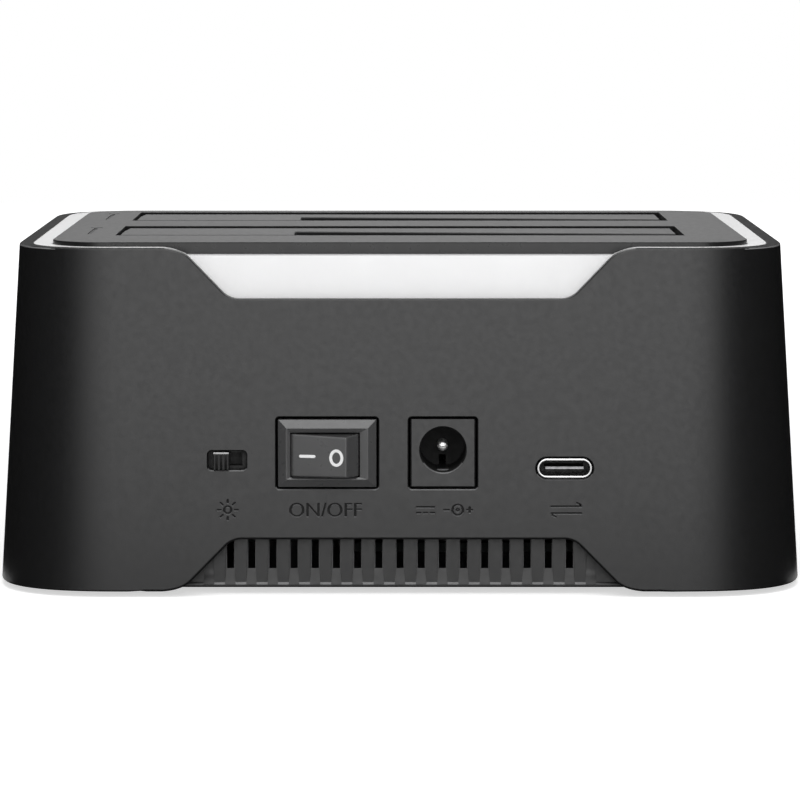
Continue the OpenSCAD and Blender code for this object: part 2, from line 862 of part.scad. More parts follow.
module rocker_terminals() {
    y = rocker_y + rocker_body[2];
    color([0.78, 0.76, 0.68])
        for (s = [-1, 1])
            translate([-rocker_x, 0, rocker_z])
                box(s * blade_x - blade[0] / 2, s * blade_x + blade[0] / 2, y - 3, y + blade[1], -blade[2] / 2, blade[2] / 2);
}

module switch_leads() {
    y = rocker_y + rocker_body[2] + blade[1] / 2;
    color([0.55, 0.05, 0.05])
        for (s = [-1, 1])
            translate([s * blade_x - rocker_x, y, port_board_top])
                cylinder(h = rocker_z - blade[2] / 2 - port_board_top, r = 0.75);
}

module dc_jack_body() {
    x0 = jack_x - jack_w / 2;
    x1 = jack_x + jack_w / 2;
    back = jack_y + jack_len;
    color([0.06, 0.06, 0.06])
        difference() {
            union() {
                intersection() {
                    box(x0, x1, jack_y - 3, back, jack_z - jack_h / 2, jack_z + jack_h / 2);
                    sleeve(shell_z + foot_bevel, rim_z - rim_bevel, 0);
                }
                box(x0 + 0.5, x1 - 0.5, jack_y + 5, back, port_board_top, jack_z);
            }
            y_hole(jack_x, jack_bore_z, jack_bore_r, jack_y - 3, jack_y + 10.5);
            translate([jack_x, jack_y + 1.6, jack_bore_z])
                rotate([90, 0, 0])
                    cylinder(h = 3.2, r1 = jack_bore_r - 0.1, r2 = 2 * jack_mouth_r - jack_bore_r + 0.1);
            y_hole(jack_x, jack_bore_z, jack_pin_r + eps, jack_y, back + 1);
            box(jack_x - 1.1, jack_x + 1.1, jack_y + 2.5, back + 1, jack_bore_z - jack_bore_r - 0.7, jack_bore_z - 2);
        }
}

module dc_jack_pin() {
    color([0.8, 0.8, 0.78]) {
        y_hole(jack_x, jack_bore_z, jack_pin_r, jack_y + 1.8, jack_y + jack_len + 0.4);
        translate([jack_x, jack_y + 1.8, jack_bore_z])
            sphere(jack_pin_r);
    }
}

// leaf contact below the bore, bent down to the board behind the inlet
module dc_jack_contact() {
    back = jack_y + jack_len;
    z0 = jack_bore_z - jack_bore_r - 0.7;
    color([0.78, 0.76, 0.68]) {
        box(jack_x - 1, jack_x + 1, jack_y + 3, back + 0.5, z0, z0 + 0.35);
        box(jack_x - 1, jack_x + 1, back + 0.1, back + 0.5, port_board_top, z0 + eps);
    }
}

module usb_c_shell() {
    color([0.7, 0.71, 0.73]) {
        difference() {
            oval(usb_x, usb_z, usb_w, usb_h, usb_y, usb_y + usb_len);
            oval(usb_x, usb_z, usb_w - 2 * usb_wall, usb_h - 2 * usb_wall, usb_y - 1, usb_y + usb_len + 1);
        }
        for (s = [-1, 1], y = [3.4, 6.4])
            box(usb_x + s * (usb_w / 2 - 2.4) - 0.4, usb_x + s * (usb_w / 2 - 2.4) + 0.4, usb_y + y, usb_y + y + 1.2,
                port_board_top, usb_z - usb_h / 2 + usb_wall / 2);
    }
}

module usb_c_tongue() {
    iw = usb_w - 2 * usb_wall - 0.04;
    ih = usb_h - 2 * usb_wall - 0.04;
    color([0.08, 0.08, 0.08]) {
        oval(usb_x, usb_z, iw, ih, usb_y + usb_len - 2.2, usb_y + usb_len);
        box(usb_x - 3.4, usb_x + 3.4, usb_y + 1, usb_y + usb_len - 2, usb_z - 0.35, usb_z + 0.35);
    }
}

module slide_switch_body() {
    w = slide_can[0] / 2;
    d = slide_can[1];
    h = slide_can[2] / 2;
    y = slide_can_y;
    color([0.66, 0.67, 0.69])
        translate([-slide_x, 0, 0]) {
            difference() {
                box(-w, w, y, y + d, slide_z - h, slide_z + h);
                box(-3.2, 3.2, y + 0.5, y + d - 0.6, slide_z - h + 0.5, slide_z + h - 0.5);
                box(-2.6, 2.6, y - 1, y + 1, slide_z - 1.2, slide_z + 1.2);
            }
            for (s = [-1, 1])
                box(s * (w - 0.4) - 0.3, s * (w - 0.4) + 0.3, y + 1, y + d - 1, port_board_top, slide_z - h + eps);
        }
}

module slide_switch_knob() {
    out = 1;
    y0 = slide_y - out;
    y1 = slide_can_y + 0.5;
    color([0.1, 0.1, 0.1])
        translate([knob_rest_x, 0, slide_z]) {
            difference() {
                box(-knob_w / 2, knob_w / 2, y0, slide_y + wall - 0.3, -knob_h / 2, knob_h / 2);
                // grip grooves on the outer face
                for (i = [-1:1])
                    box(i * 0.8 - 0.15, i * 0.8 + 0.15, y0 - 1, y0 + 0.3, -knob_h / 2 - 1, knob_h / 2 + 1);
            }
            box(-0.9, 0.9, slide_y + wall - 0.3 - eps, y1 + 0.5, -0.8, 0.8);
            box(-1.4, 1.4, y1 + play, y1 + 2, -1.1, 1.1);
        }
}

// strip of light chips held against the inside of the light ring
strip_half = 46;
strip_t = 0.4;
strip_h = 3.6;
chip_t = 1.2;
chip_w = 3.5;
chip_pitch = 14;

module light_strip(side) {
    ring_in = plate_y - ring_lip;
    z0 = ring_foot_z + 0.6;
    chips = 7;
    color([0.85, 0.85, 0.8])
        mirror([0, side < 0 ? 1 : 0, 0]) {
            box(-strip_half, strip_half, ring_in - chip_t - strip_t, ring_in - chip_t, z0, z0 + strip_h);
            for (i = [0:chips - 1]) {
                x = (i - (chips - 1) / 2) * chip_pitch;
                box(x - chip_w / 2, x + chip_w / 2, ring_in - chip_t - eps, ring_in, z0 + 0.4, z0 + strip_h - 0.4);
            }
        }
}

module rear_light_strip() {
    light_strip(-1);
}

module front_light_strip() {
    light_strip(1);
}

// pan head screw standing on z = 0, head below
module screw(r_head, h_head, length) {
    translate([0, 0, -h_head])
        cylinder(h = h_head, r = r_head);
    translate([0, 0, -eps])
        cylinder(h = length, r = screw_r);
}

module base_screws() {
    color([0.5, 0.5, 0.52])
        for (sx = [-1, 1], y = [rear_slot_y, front_slot_y])
            translate([sx * leg_x, y + slot_d / 2, base_z + 1.1])
                screw(base_head_r, 0.9, base_screw_l);
}

module plate_screws() {
    color([0.5, 0.5, 0.52])
        for (sx = [-1, 1], y = [rear_slot_y, front_slot_y])
            translate([sx * lug_x, lug_y(y), lug_z])
                screw(head_r, head_h, lug_t + 4.5);
}

module board_screws() {
    color([0.5, 0.5, 0.52]) {
        for (sx = [-1, 1], sy = [-1, 1])
            translate([sx * board_hole_x, board_y(sy), board_top])
                rotate([180, 0, 0])
                    screw(head_r, head_h, 4);
        for (sx = [-1, 1])
            translate([sx * post[0], -post[1], port_board_top])
                rotate([180, 0, 0])
                    screw(head_r, head_h, 4);
    }
}

// every piece stands in the shared frame
module framed() {
    translate([0, shift_y, 0])
        children();
}

framed() outer_shell();
framed() light_ring();
framed() top_plate();
framed() base_tray();
framed() rear_bay_flap();
framed() front_bay_flap();
framed() rear_flap_pin();
framed() front_flap_pin();
framed() rear_flap_spring();
framed() front_flap_spring();
framed() rear_drive_well();
framed() front_drive_well();
framed() main_board();
framed() port_board();
framed() board_link();
framed() rear_sata_socket();
framed() front_sata_socket();
framed() rear_sata_contacts();
framed() front_sata_contacts();
framed() bridge_chip();
framed() capacitor_a();
framed() capacitor_b();
framed() coil_a();
framed() coil_b();
framed() rocker_housing();
framed() rocker_button();
framed() rocker_terminals();
framed() switch_leads();
framed() dc_jack_body();
framed() dc_jack_pin();
framed() dc_jack_contact();
framed() usb_c_shell();
framed() usb_c_tongue();
framed() slide_switch_body();
framed() slide_switch_knob();
framed() rear_light_strip();
framed() front_light_strip();
framed() foot_rear_left();
framed() foot_rear_right();
framed() foot_front_left();
framed() foot_front_right();
framed() base_screws();
framed() board_screws();
framed() plate_screws();
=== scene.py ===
import math

import bmesh
import bpy
from mathutils import Matrix, Vector


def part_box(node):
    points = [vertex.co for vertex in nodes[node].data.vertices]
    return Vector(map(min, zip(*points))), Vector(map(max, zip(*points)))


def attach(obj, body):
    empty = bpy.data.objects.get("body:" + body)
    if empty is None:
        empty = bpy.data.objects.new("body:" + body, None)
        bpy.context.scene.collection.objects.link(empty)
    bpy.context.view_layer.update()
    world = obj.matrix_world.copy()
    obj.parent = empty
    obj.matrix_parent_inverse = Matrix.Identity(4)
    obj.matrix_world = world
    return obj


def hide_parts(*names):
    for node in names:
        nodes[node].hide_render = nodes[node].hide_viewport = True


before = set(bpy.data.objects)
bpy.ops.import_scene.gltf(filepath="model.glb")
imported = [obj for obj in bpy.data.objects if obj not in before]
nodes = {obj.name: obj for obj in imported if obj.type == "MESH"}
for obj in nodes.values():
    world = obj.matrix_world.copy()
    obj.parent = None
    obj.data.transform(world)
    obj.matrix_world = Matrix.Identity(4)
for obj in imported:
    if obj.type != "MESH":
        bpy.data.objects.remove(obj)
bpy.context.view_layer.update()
shellLow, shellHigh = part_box("outer_shell")
print("frame loaded:", len(nodes), "nodes")

mm = 0.001
tau = 2 * math.pi
hair = 0.01  # tolerance in millimetres
lap = 0.02  # joined forms overlap by this much
shiftY = (shellLow.y + shellHigh.y) / 2 / mm  # the raised rocker moves the footprint's middle

# plan of the dock in millimetres, corner centres and heights
plan = {"cornerX": 52.85, "cornerY": 40.2, "rimRadius": 15.5, "lean": 3.7, "height": 60.1,
        "shellZ": 1.0, "rimZ": 61.1, "plateZ": 62.0, "underZ": 59.9, "ringZ": 61.02,
        "ringFootZ": 49.6, "baseZ": 1.2, "floorZ": 3.2, "sillZ": 2.1, "panZ": 12.4,
        "plateRadius": 9.3, "wall": 2.35, "cornerSteps": 28, "ease": 5.0, "power": 2.7,
        "easeFrom": 9.5, "easeTo": 13.0, "rimRear": 0.15, "rimFront": 0.55, "ringFront": 0.75}
bays = {"wide": 103.5, "deep": 28.0, "pinBack": 3.2, "pinZ": 58.0}
bayRows = {"rear": -30.3, "front": 15.0}  # where each opening starts
leanAngle = math.atan(plan["lean"] / plan["height"])


def clampTo(value, limit):
    return max(-limit, min(limit, value))


def shareOf(value, low, high):
    return min(1.0, max(0.0, (value - low) / (high - low)))


def radiusAt(z):
    return plan["rimRadius"] + plan["lean"] * (plan["rimZ"] - z) / plan["height"]


def faceY(z):
    return -(plan["cornerY"] + radiusAt(z))


def bayMiddle(y):
    return y + bays["deep"] / 2


def hingeAt(y):
    return y + bays["deep"] + bays["pinBack"]


# bmesh helpers

alongX = Matrix.Rotation(math.radians(90), 4, "Y")
alongY = Matrix.Rotation(math.radians(-90), 4, "X")
toRear = Matrix.Rotation(math.radians(90), 4, "X")  # flat work turned to face the rear
acrossX = Matrix.Rotation(math.radians(90), 4, "Z") @ toRear  # a side outline, drawn out along x


def middle(e):
    return (e.verts[0].co + e.verts[1].co) / 2


def turnOut(bm):
    bmesh.ops.recalc_face_normals(bm, faces=bm.faces)


def roundOff(bm, geom, width, steps, kind="EDGES"):
    bmesh.ops.bevel(bm, geom=geom, offset=width, offset_type="OFFSET", segments=steps, profile=0.5,
                    affect=kind, material=-1)


def soften(bm, test, width, steps, least=25):
    edges = [e for e in bm.edges if len(e.link_faces) == 2
             and e.calc_face_angle(0) > math.radians(least) and test(e)]
    if edges:
        roundOff(bm, edges, width, steps)


def cornerShape(radius):
    share = shareOf(radius, plan["easeFrom"], plan["easeTo"])  # the plate's corners are round, the sleeve's ease
    return plan["ease"] * share, 2 + (plan["power"] - 2) * share


def growTo(bm, verts, z, radius):
    turn = bm.verts.layers.float["turn"]
    ease, power = cornerShape(radius)
    for v in verts:
        u, w = ((radius + ease) * abs(way(v[turn])) ** (2 / power) for way in (math.cos, math.sin))
        x, y = plan["cornerX"] - ease + u, plan["cornerY"] - ease + w
        v.co = (math.copysign(x, v.co.x), math.copysign(y, v.co.y), z)


def faceVerts(faces):
    return list({v for f in faces for v in f.verts})


def extrudeFaces(bm, faces, drop=False):
    made = bmesh.ops.extrude_face_region(bm, geom=faces)["geom"]
    if drop:  # an inner station leaves no face behind
        bmesh.ops.delete(bm, geom=faces, context="FACES_ONLY")
    return [g for g in made if isinstance(g, bmesh.types.BMFace)]


def thicken(bm, faces, depth):
    top = faceVerts(extrudeFaces(bm, faces))
    bmesh.ops.translate(bm, vec=(0, 0, depth), verts=top)
    return top


def hollowOut(bm, face, wall, depth):
    bmesh.ops.inset_region(bm, faces=[face], thickness=wall, use_boundary=True, use_even_offset=True)
    bmesh.ops.delete(bm, geom=[face], context="FACES_ONLY")
    thicken(bm, list(bm.faces), depth)


def roundedFace(bm, halfX, halfY, radius, steps):
    verts = bmesh.ops.create_grid(bm, x_segments=1, y_segments=1, size=1)["verts"]
    bmesh.ops.scale(bm, vec=(halfX, halfY, 1), verts=verts)
    roundOff(bm, verts, radius, steps, "VERTICES")
    bmesh.ops.remove_doubles(bm, verts=bm.verts, dist=0.03)
    return max(bm.faces, key=lambda f: len(f.verts))


def loft(stations):
    bm = bmesh.new()
    turn = bm.verts.layers.float.new("turn")
    z, radius = stations[0]
    face = roundedFace(bm, plan["cornerX"] + radius, plan["cornerY"] + radius, radius, plan["cornerSteps"])
    for v in face.verts:
        v[turn] = math.atan2(max(0.0, abs(v.co.y) - plan["cornerY"]), max(0.0, abs(v.co.x) - plan["cornerX"]))
    growTo(bm, face.verts, z, radius)
    first, faces = face, [face]
    for z, radius in stations[1:]:
        faces = extrudeFaces(bm, faces, faces[0] is not first)
        growTo(bm, faceVerts(faces), z, radius)
    return bm, first, faces[0]


def tube(stations):
    bm, first, last = loft(stations)
    bmesh.ops.delete(bm, geom=[f for f in (first, last) if f.is_valid], context="FACES_ONLY")
    bmesh.ops.bridge_loops(bm, edges=[e for e in bm.edges if e.is_boundary])
    turnOut(bm)
    return bm


def solid(stations):
    bm = loft(stations)[0]
    turnOut(bm)
    return bm


def addBox(bm, x0, x1, y0, y1, z0, z1):
    x0, x1 = sorted((x0, x1))  # mirrored pairs come in either order
    place = Matrix.Translation(((x0 + x1) / 2, (y0 + y1) / 2, (z0 + z1) / 2))
    size = Matrix.Diagonal((x1 - x0, y1 - y0, z1 - z0, 1))
    return bmesh.ops.create_cube(bm, size=1, matrix=place @ size)["verts"]


def addDrum(bm, low, radius, depth, turn=Matrix.Identity(4), steps=32):
    place = Matrix.Translation(low) @ turn @ Matrix.Translation((0, 0, depth / 2))
    bmesh.ops.create_cone(bm, cap_ends=True, segments=steps, radius1=radius, radius2=radius,
                          depth=depth, matrix=place)


def addPrism(bm, outline, depth, place):
    verts = [bm.verts.new((x, y, 0)) for x, y in outline]  # a few corners, then one extrude
    made = verts + thicken(bm, [bm.faces.new(verts)], depth)
    bmesh.ops.transform(bm, matrix=place, verts=made)
    return made


def joinInto(bm, part, place=Matrix.Identity(4)):
    bmesh.ops.transform(part, matrix=place, verts=part.verts)
    turnOut(part)
    mesh = bpy.data.meshes.new("part")
    part.to_mesh(mesh)
    part.free()
    bm.from_mesh(mesh)
    bpy.data.meshes.remove(mesh)


def addRounded(bm, halfX, halfY, radius, steps, depth, place):
    part = bmesh.new()
    thicken(part, [roundedFace(part, halfX, halfY, radius, steps)], depth)
    joinInto(bm, part, place)


def addRing(bm, x, y, halfX, halfY, width, depth, place, steps=28):
    part = bmesh.new()
    outer = bmesh.ops.create_circle(part, cap_ends=True, segments=steps, radius=1)["verts"]
    bmesh.ops.scale(part, vec=(halfX, halfY, 1), verts=outer)
    hollowOut(part, outer[0].link_faces[0], width, depth)
    joinInto(bm, part, place @ Matrix.Translation((x, y, -depth / 2)))


def spinOutline(bm, outline, centre, axis, steps):
    verts = [bm.verts.new((centre[0] + r, centre[1] + h * axis[1], centre[2] + h * axis[2])) for r, h in outline]
    edges = [bm.edges.new(pair) for pair in zip(verts, verts[1:])]
    bmesh.ops.spin(bm, geom=verts + edges, cent=centre, axis=axis, angle=tau, steps=steps, use_merge=True)
    bmesh.ops.remove_doubles(bm, verts=bm.verts, dist=0.001)
    turnOut(bm)


def meshObject(name, bm, keep=False):
    mesh = bpy.data.meshes.new(name)
    bm.to_mesh(mesh)
    if not keep:
        bm.free()
    obj = bpy.data.objects.new(name, mesh)
    bpy.context.scene.collection.objects.link(obj)
    return obj


def cutWith(bm, cutter, overlapping=False):
    turnOut(bm)
    turnOut(cutter)
    target, tool = meshObject("cutTarget", bm, True), meshObject("cutTool", cutter)
    cut = target.modifiers.new("cut", "BOOLEAN")
    cut.operation, cut.solver, cut.object, cut.use_self = "DIFFERENCE", "EXACT", tool, overlapping
    bpy.context.view_layer.update()
    made = bpy.data.meshes.new_from_object(target.evaluated_get(bpy.context.evaluated_depsgraph_get()))
    bm.clear()
    bm.from_mesh(made)
    for obj in (target, tool):
        mesh = obj.data
        bpy.data.objects.remove(obj)
        bpy.data.meshes.remove(mesh)
    bpy.data.meshes.remove(made)
    bmesh.ops.remove_doubles(bm, verts=bm.verts, dist=0.002)
    bmesh.ops.dissolve_degenerate(bm, edges=bm.edges, dist=0.002)


def finishPiece(name, bm, finishes, body, replaced=(), smooth=40):
    bmesh.ops.translate(bm, vec=(0, shiftY, 0), verts=bm.verts)
    bmesh.ops.scale(bm, vec=(mm, mm, mm), verts=bm.verts)
    obj = meshObject(name, bm)
    mesh = obj.data
    mesh.shade_smooth()
    mesh.set_sharp_from_angle(angle=math.radians(smooth))
    even = obj.modifiers.new("even", "WEIGHTED_NORMAL")  # keeps flats flat beside the bevels
    even.keep_sharp, even.weight = True, 90
    for key in finishes:
        mesh.materials.append(finish[key])
    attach(obj, body)
    if replaced:
        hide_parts(*replaced)
    print("piece", name, len(mesh.polygons), "faces")


# materials

noiseSpan = (0.3, 0.7)  # the noise seldom leaves this range


def startMaterial(name):
    material = bpy.data.materials.new(name)
    material.use_nodes = True
    tree = material.node_tree
    return material, tree, tree.nodes["Principled BSDF"]


def setInputs(node, values):
    for key, value in values.items():
        node.inputs[key].default_value = value


def noiseNode(tree, scale, detail=2):
    coords = tree.nodes.new("ShaderNodeTexCoord")
    noise = tree.nodes.new("ShaderNodeTexNoise")
    setInputs(noise, {"Scale": scale, "Detail": detail})
    tree.links.new(coords.outputs["Object"], noise.inputs["Vector"])
    return noise


def varyColour(tree, shader, colour, spread, scale):
    noise = noiseNode(tree, scale, 3)
    ramp = tree.nodes.new("ShaderNodeValToRGB")
    for element, place, gain in zip(ramp.color_ramp.elements, noiseSpan, (1 - spread, 1 + spread)):
        element.position, element.color = place, [c * gain for c in colour] + [1]
    tree.links.new(noise.outputs[0], ramp.inputs[0])
    tree.links.new(ramp.outputs[0], shader.inputs["Base Color"])


def varyRoughness(tree, shader, rough, spread, scale):
    noise = noiseNode(tree, scale)
    span = tree.nodes.new("ShaderNodeMapRange")
    setInputs(span, {"From Min": noiseSpan[0], "From Max": noiseSpan[1],
                     "To Min": rough - spread, "To Max": rough + spread})
    tree.links.new(noise.outputs[0], span.inputs["Value"])
    tree.links.new(span.outputs[0], shader.inputs["Roughness"])


def addGrain(tree, shader, scale, strength, depth):
    noise = noiseNode(tree, scale)
    bump = tree.nodes.new("ShaderNodeBump")
    setInputs(bump, {"Strength": strength, "Distance": depth})
    tree.links.new(noise.outputs[0], bump.inputs["Height"])
    tree.links.new(bump.outputs["Normal"], shader.inputs["Normal"])


def mouldedPlastic(name, colour, rough, grain=3200, strength=0.12, spread=0.06, level=0.32):
    material, tree, shader = startMaterial(name)
    varyColour(tree, shader, colour, spread=0.04, scale=140)
    varyRoughness(tree, shader, rough, spread, scale=900)
    addGrain(tree, shader, grain, strength, depth=0.00003)
    setInputs(shader, {"Specular IOR Level": level})
    return material


def milkyPlastic(name, colour):
    material, tree, shader = startMaterial(name)
    varyColour(tree, shader, colour, spread=0.015, scale=90)
    varyRoughness(tree, shader, rough=0.42, spread=0.05, scale=700)
    addGrain(tree, shader, scale=2600, strength=0.06, depth=0.00002)
    setInputs(shader, {"Subsurface Weight": 0.25, "Subsurface Radius": (1, 1, 1), "Subsurface Scale": 0.0012})
    return material


def plainMetal(name, colour, rough):
    material, tree, shader = startMaterial(name)
    varyColour(tree, shader, colour, spread=0.06, scale=400)
    varyRoughness(tree, shader, rough, spread=0.06, scale=1500)
    addGrain(tree, shader, scale=3000, strength=0.08, depth=0.00002)
    setInputs(shader, {"Metallic": 1})
    return material


def softRubber(name, colour):
    material, tree, shader = startMaterial(name)
    varyColour(tree, shader, colour, spread=0.15, scale=300)
    varyRoughness(tree, shader, rough=0.78, spread=0.08, scale=1200)
    addGrain(tree, shader, scale=2500, strength=0.35, depth=0.00006)
    return material


def boardLaminate(name, colour):
    material, tree, shader = startMaterial(name)
    coords = tree.nodes.new("ShaderNodeTexCoord")
    tracks = tree.nodes.new("ShaderNodeTexBrick")  # copper tracks under the mask
    setInputs(tracks, {"Scale": 160, "Mortar Size": 0.06})
    for key, gain in (("Color1", 1), ("Color2", 0.8), ("Mortar", 1.7)):
        setInputs(tracks, {key: (*[c * gain for c in colour], 1)})
    tree.links.new(coords.outputs["Object"], tracks.inputs["Vector"])
    tree.links.new(tracks.outputs[0], shader.inputs["Base Color"])
    varyRoughness(tree, shader, rough=0.62, spread=0.06, scale=800)
    setInputs(shader, {"Specular IOR Level": 0.2})
    return material


finish = {  # colour, roughness, then grain scale, grain strength, roughness spread and specular level
    "sleeve": mouldedPlastic("sleeveSatin", (0.008, 0.008, 0.0083), 0.41, 3200, 0.08, 0.03, 0.41),
    "rim": mouldedPlastic("rimMatt", (0.01, 0.01, 0.0103), 0.75, 3200, 0.1, 0.05, 0.15),
    "plate": mouldedPlastic("plateSatin", (0.017, 0.017, 0.0175), 0.56, 3600, 0.03, 0.03, 0.5),
    "plateWall": mouldedPlastic("plateWallSatin", (0.009, 0.009, 0.0093), 0.3, 3600, 0.04, 0.03),
    "slotWall": mouldedPlastic("slotWallDull", (0.008, 0.008, 0.008), 0.75, 3000, 0.06, 0.04, 0.12),
    "flap": mouldedPlastic("flapSatin", (0.017, 0.017, 0.0175), 0.56, 3600, 0.03, 0.03, 0.5),
    "tray": mouldedPlastic("traySatin", (0.011, 0.011, 0.0113), 0.42, 3200, 0.08, 0.04, 0.42),
    # painted highlight: a light grey laid on upward-facing edges that catch the top light
    "edgeHighlight": mouldedPlastic("paintedEdgeHighlight", (0.11, 0.11, 0.112), 0.34, 2600, 0.08, 0.05, 0.5),
    "well": mouldedPlastic("wellPlastic", (0.01, 0.01, 0.0105), 0.55, 3200, 0.1, 0.05, 0.2),
    "switch": mouldedPlastic("switchGloss", (0.066, 0.066, 0.067), 0.3, 4200, 0.04, 0.03, 0.42),
    "knob": mouldedPlastic("knobPlastic", (0.006, 0.006, 0.006), 0.42, 4200, 0.05, 0.04, 0.3),
    # painted highlight: a light grey on the rim's bevel at the corners
    "rimEdge": mouldedPlastic("rimEdge", (0.2, 0.2, 0.202), 0.24, 4200, 0.03, 0.04, 0.5),
    # painted highlight: a light grey on the knob's upper edge
    "knobHighlight": mouldedPlastic("knobPaintedHighlight", (0.3, 0.3, 0.3), 0.2, 4200, 0.03, 0.04, 0.5),
    "inlet": mouldedPlastic("inletPlastic", (0.01, 0.01, 0.0103), 0.41, 4200, 0.06, 0.04, 0.41),
    "socket": mouldedPlastic("socketPlastic", (0.01, 0.01, 0.01), 0.5),
    "diffuser": milkyPlastic("diffuserMilk", (0.88, 0.88, 0.885)),
    "steel": plainMetal("steelDrawn", (0.66, 0.67, 0.69), 0.26),
    "pin": plainMetal("pinSteel", (0.82, 0.82, 0.81), 0.46),
    "dullSteel": plainMetal("steelDull", (0.2, 0.2, 0.205), 0.45),
    "bright": plainMetal("steelBright", (0.46, 0.46, 0.46), 0.24),
    "blackSteel": plainMetal("screwOxide", (0.09, 0.09, 0.092), 0.38),
    "gold": plainMetal("contactPlate", (0.83, 0.62, 0.24), 0.22),
    "can": plainMetal("canAluminium", (0.62, 0.63, 0.66), 0.3),
    "ferrite": mouldedPlastic("coilFerrite", (0.03, 0.03, 0.03), 0.7, 1800, 0.4),
    "board": boardLaminate("boardMask", (0.008, 0.01, 0.009)),
    "strip": mouldedPlastic("stripMask", (0.75, 0.75, 0.7), 0.45),
    "lead": softRubber("leadCover", (0.36, 0.012, 0.012)),
    "rubber": softRubber("footRubber", (0.012, 0.012, 0.012)),
    # painted shade: a darker, duller finish for the floors of the marks and the inlet's bore
    "recessShade": mouldedPlastic("markRecessShade", (0.006, 0.006, 0.006), 0.7, 3000, 0.05, 0.05, 0.25),
    "paint": mouldedPlastic("markPaint", (0.86, 0.86, 0.86), 0.5, 3000, 0.05),
}
print("materials ready:", len(finish))

# notch and arch outline, rounded at both ends of each slope

notch = {"half": 38.6, "depth": 8.7, "slope": math.radians(45.3), "lipX": 40.6, "lipTurn": math.radians(18),
         "lipRound": 1.45, "bendRound": 1.2, "floorRound": 1.5, "steps": 8, "archHeight": 9.2,
         "archShift": 0.55, "near": 38.0, "far": 75.0, "above": 6.0, "beyond": 4.0}


def addNotch(bm, depth, side, up, z, inset=0.0, beside=0.0):
    n = notch
    half, lipX = n["half"] - inset, n["lipX"] - inset
    steep, gentle = math.tan(n["slope"]), math.tan(n["lipTurn"])
    bendX = (half * steep - lipX * gentle) / (steep - gentle)
    bendZ = -(lipX - bendX) * gentle
    floorX = half - depth / steep
    short = min(1.0, (depth + bendZ) / 3)  # a shallow cut leaves less room for its turns
    corners = [(lipX, 0, n["lipRound"]), (bendX, bendZ, n["bendRound"] * short),
               (floorX, -depth, n["floorRound"] * short)]
    edgeX, edgeZ = lipX + n["beyond"], n["above"]
    outline = [(-edgeX, edgeZ, 0), (edgeX, edgeZ, 0), (edgeX, 0, 0)] + corners
    outline += [(-x, y, r) for x, y, r in reversed(corners)] + [(-edgeX, 0, 0)]
    part = bmesh.new()
    verts = [part.verts.new((x, y, 0)) for x, y, r in outline]
    part.faces.new(verts)
    for v, (x, y, r) in zip(verts, outline):
        if r > 0:
            roundOff(part, [v], r, n["steps"], "VERTICES")
    thicken(part, list(part.faces), n["far"] - n["near"])
    shift = Matrix.Translation((beside, -n["near"] if side < 0 else n["far"], z))
    joinInto(bm, part, shift @ toRear @ Matrix.Diagonal((1, up, 1, 1)))


# engraved marks under the ports

ports = {"slideX": -30.4, "slideZ": 24.1, "slideWide": 6.8, "slideHigh": 3.4,
         "rockerX": -12.8, "rockerZ": 25.4, "bezelWide": 17.3, "bezelHigh": 11.95, "bezelSeat": 0.8,
         "bodyWide": 15.6, "bodyHigh": 10.6, "gap": 0.36,
         "jackX": 7.55, "jackZ": 25.4, "jackWide": 11.4, "jackHigh": 11.95,
         "usbX": 28.95, "usbZ": 22.75, "usbWide": 9.7, "usbHigh": 3.5, "usbGap": 0.18, "boardZ": 18.4}
marks = {"z": 15.4, "high": 2.62, "depth": 0.22, "stroke": 0.45, "slant": 0.85, "bold": 0.014,
         "switchText": "ON/OFF", "switchX": -0.3, "switchWide": 12.8,
         "lampX": 0.1, "lampRing": 0.85, "rays": 8, "rayFrom": 1.25, "rayTo": 1.75,
         "poleX": 0.15, "line": (-4.7, 0.5, -1.7, 0.5), "dash": (-4.7, -0.5, -4.1, -0.5), "dashes": 3,
         "dashStep": 1.2, "minus": (0.1, 0, 0.9, 0), "ringX": 2.45, "ring": 1.15, "dot": 0.42, "dotLine": 0.38,
         "plus": ((4.1, 0, 5.0, 0), (4.55, 0.26, 4.55, 0.45), (4.55, -0.45, 4.55, -0.26)),
         "arrowX": 0.3, "arrowHalf": 2.6, "arrowY": 0.6, "barbFrom": (0.75, 0.62), "barbTo": (0.12, 0.36),
         "barbLine": 0.9}


def addText(bm, body, width, height, depth, place):
    curve = bpy.data.curves.new("label", "FONT")
    curve.body, curve.size, curve.extrude, curve.resolution_u, curve.offset = body, 1, 0.5, 6, marks["bold"]
    curve.align_x, curve.align_y = "LEFT", "BOTTOM_BASELINE"
    obj = bpy.data.objects.new("label", curve)
    bpy.context.scene.collection.objects.link(obj)
    bpy.context.view_layer.update()
    mesh = bpy.data.meshes.new_from_object(obj.evaluated_get(bpy.context.evaluated_depsgraph_get()))
    part = bmesh.new()
    part.from_mesh(mesh)
    bpy.data.objects.remove(obj)
    bpy.data.meshes.remove(mesh)
    bpy.data.curves.remove(curve)
    bmesh.ops.remove_doubles(part, verts=part.verts, dist=0.0005)
    xs, ys = [v.co.x for v in part.verts], [v.co.y for v in part.verts]
    centred = Matrix.Translation((-(min(xs) + max(xs)) / 2, -(min(ys) + max(ys)) / 2, 0))
    scale = Matrix.Diagonal((width / (max(xs) - min(xs)), height / (max(ys) - min(ys)), depth, 1))
    joinInto(bm, part, place @ scale @ centred)


def addStroke(bm, x0, y0, x1, y1, width, depth, place):
    length = math.hypot(x1 - x0, y1 - y0) + width
    turn = Matrix.Rotation(math.atan2(y1 - y0, x1 - x0), 4, "Z")
    spot = place @ Matrix.Translation(((x0 + x1) / 2, (y0 + y1) / 2, -depth / 2)) @ turn
    addRounded(bm, length / 2, width / 2, width / 2 - hair, 4, depth, spot)


def markSpot(x):
    z = marks["z"]
    tilt = Matrix.Rotation(math.radians(90) - leanAngle, 4, "X")  # flat work stands on the leaning wall
    slant = Matrix.Identity(4)
    slant[1][2] = -marks["slant"]  # the lower wall of each stroke faces up to the light
    return Matrix.Translation((x, faceY(z), z)) @ tilt @ slant


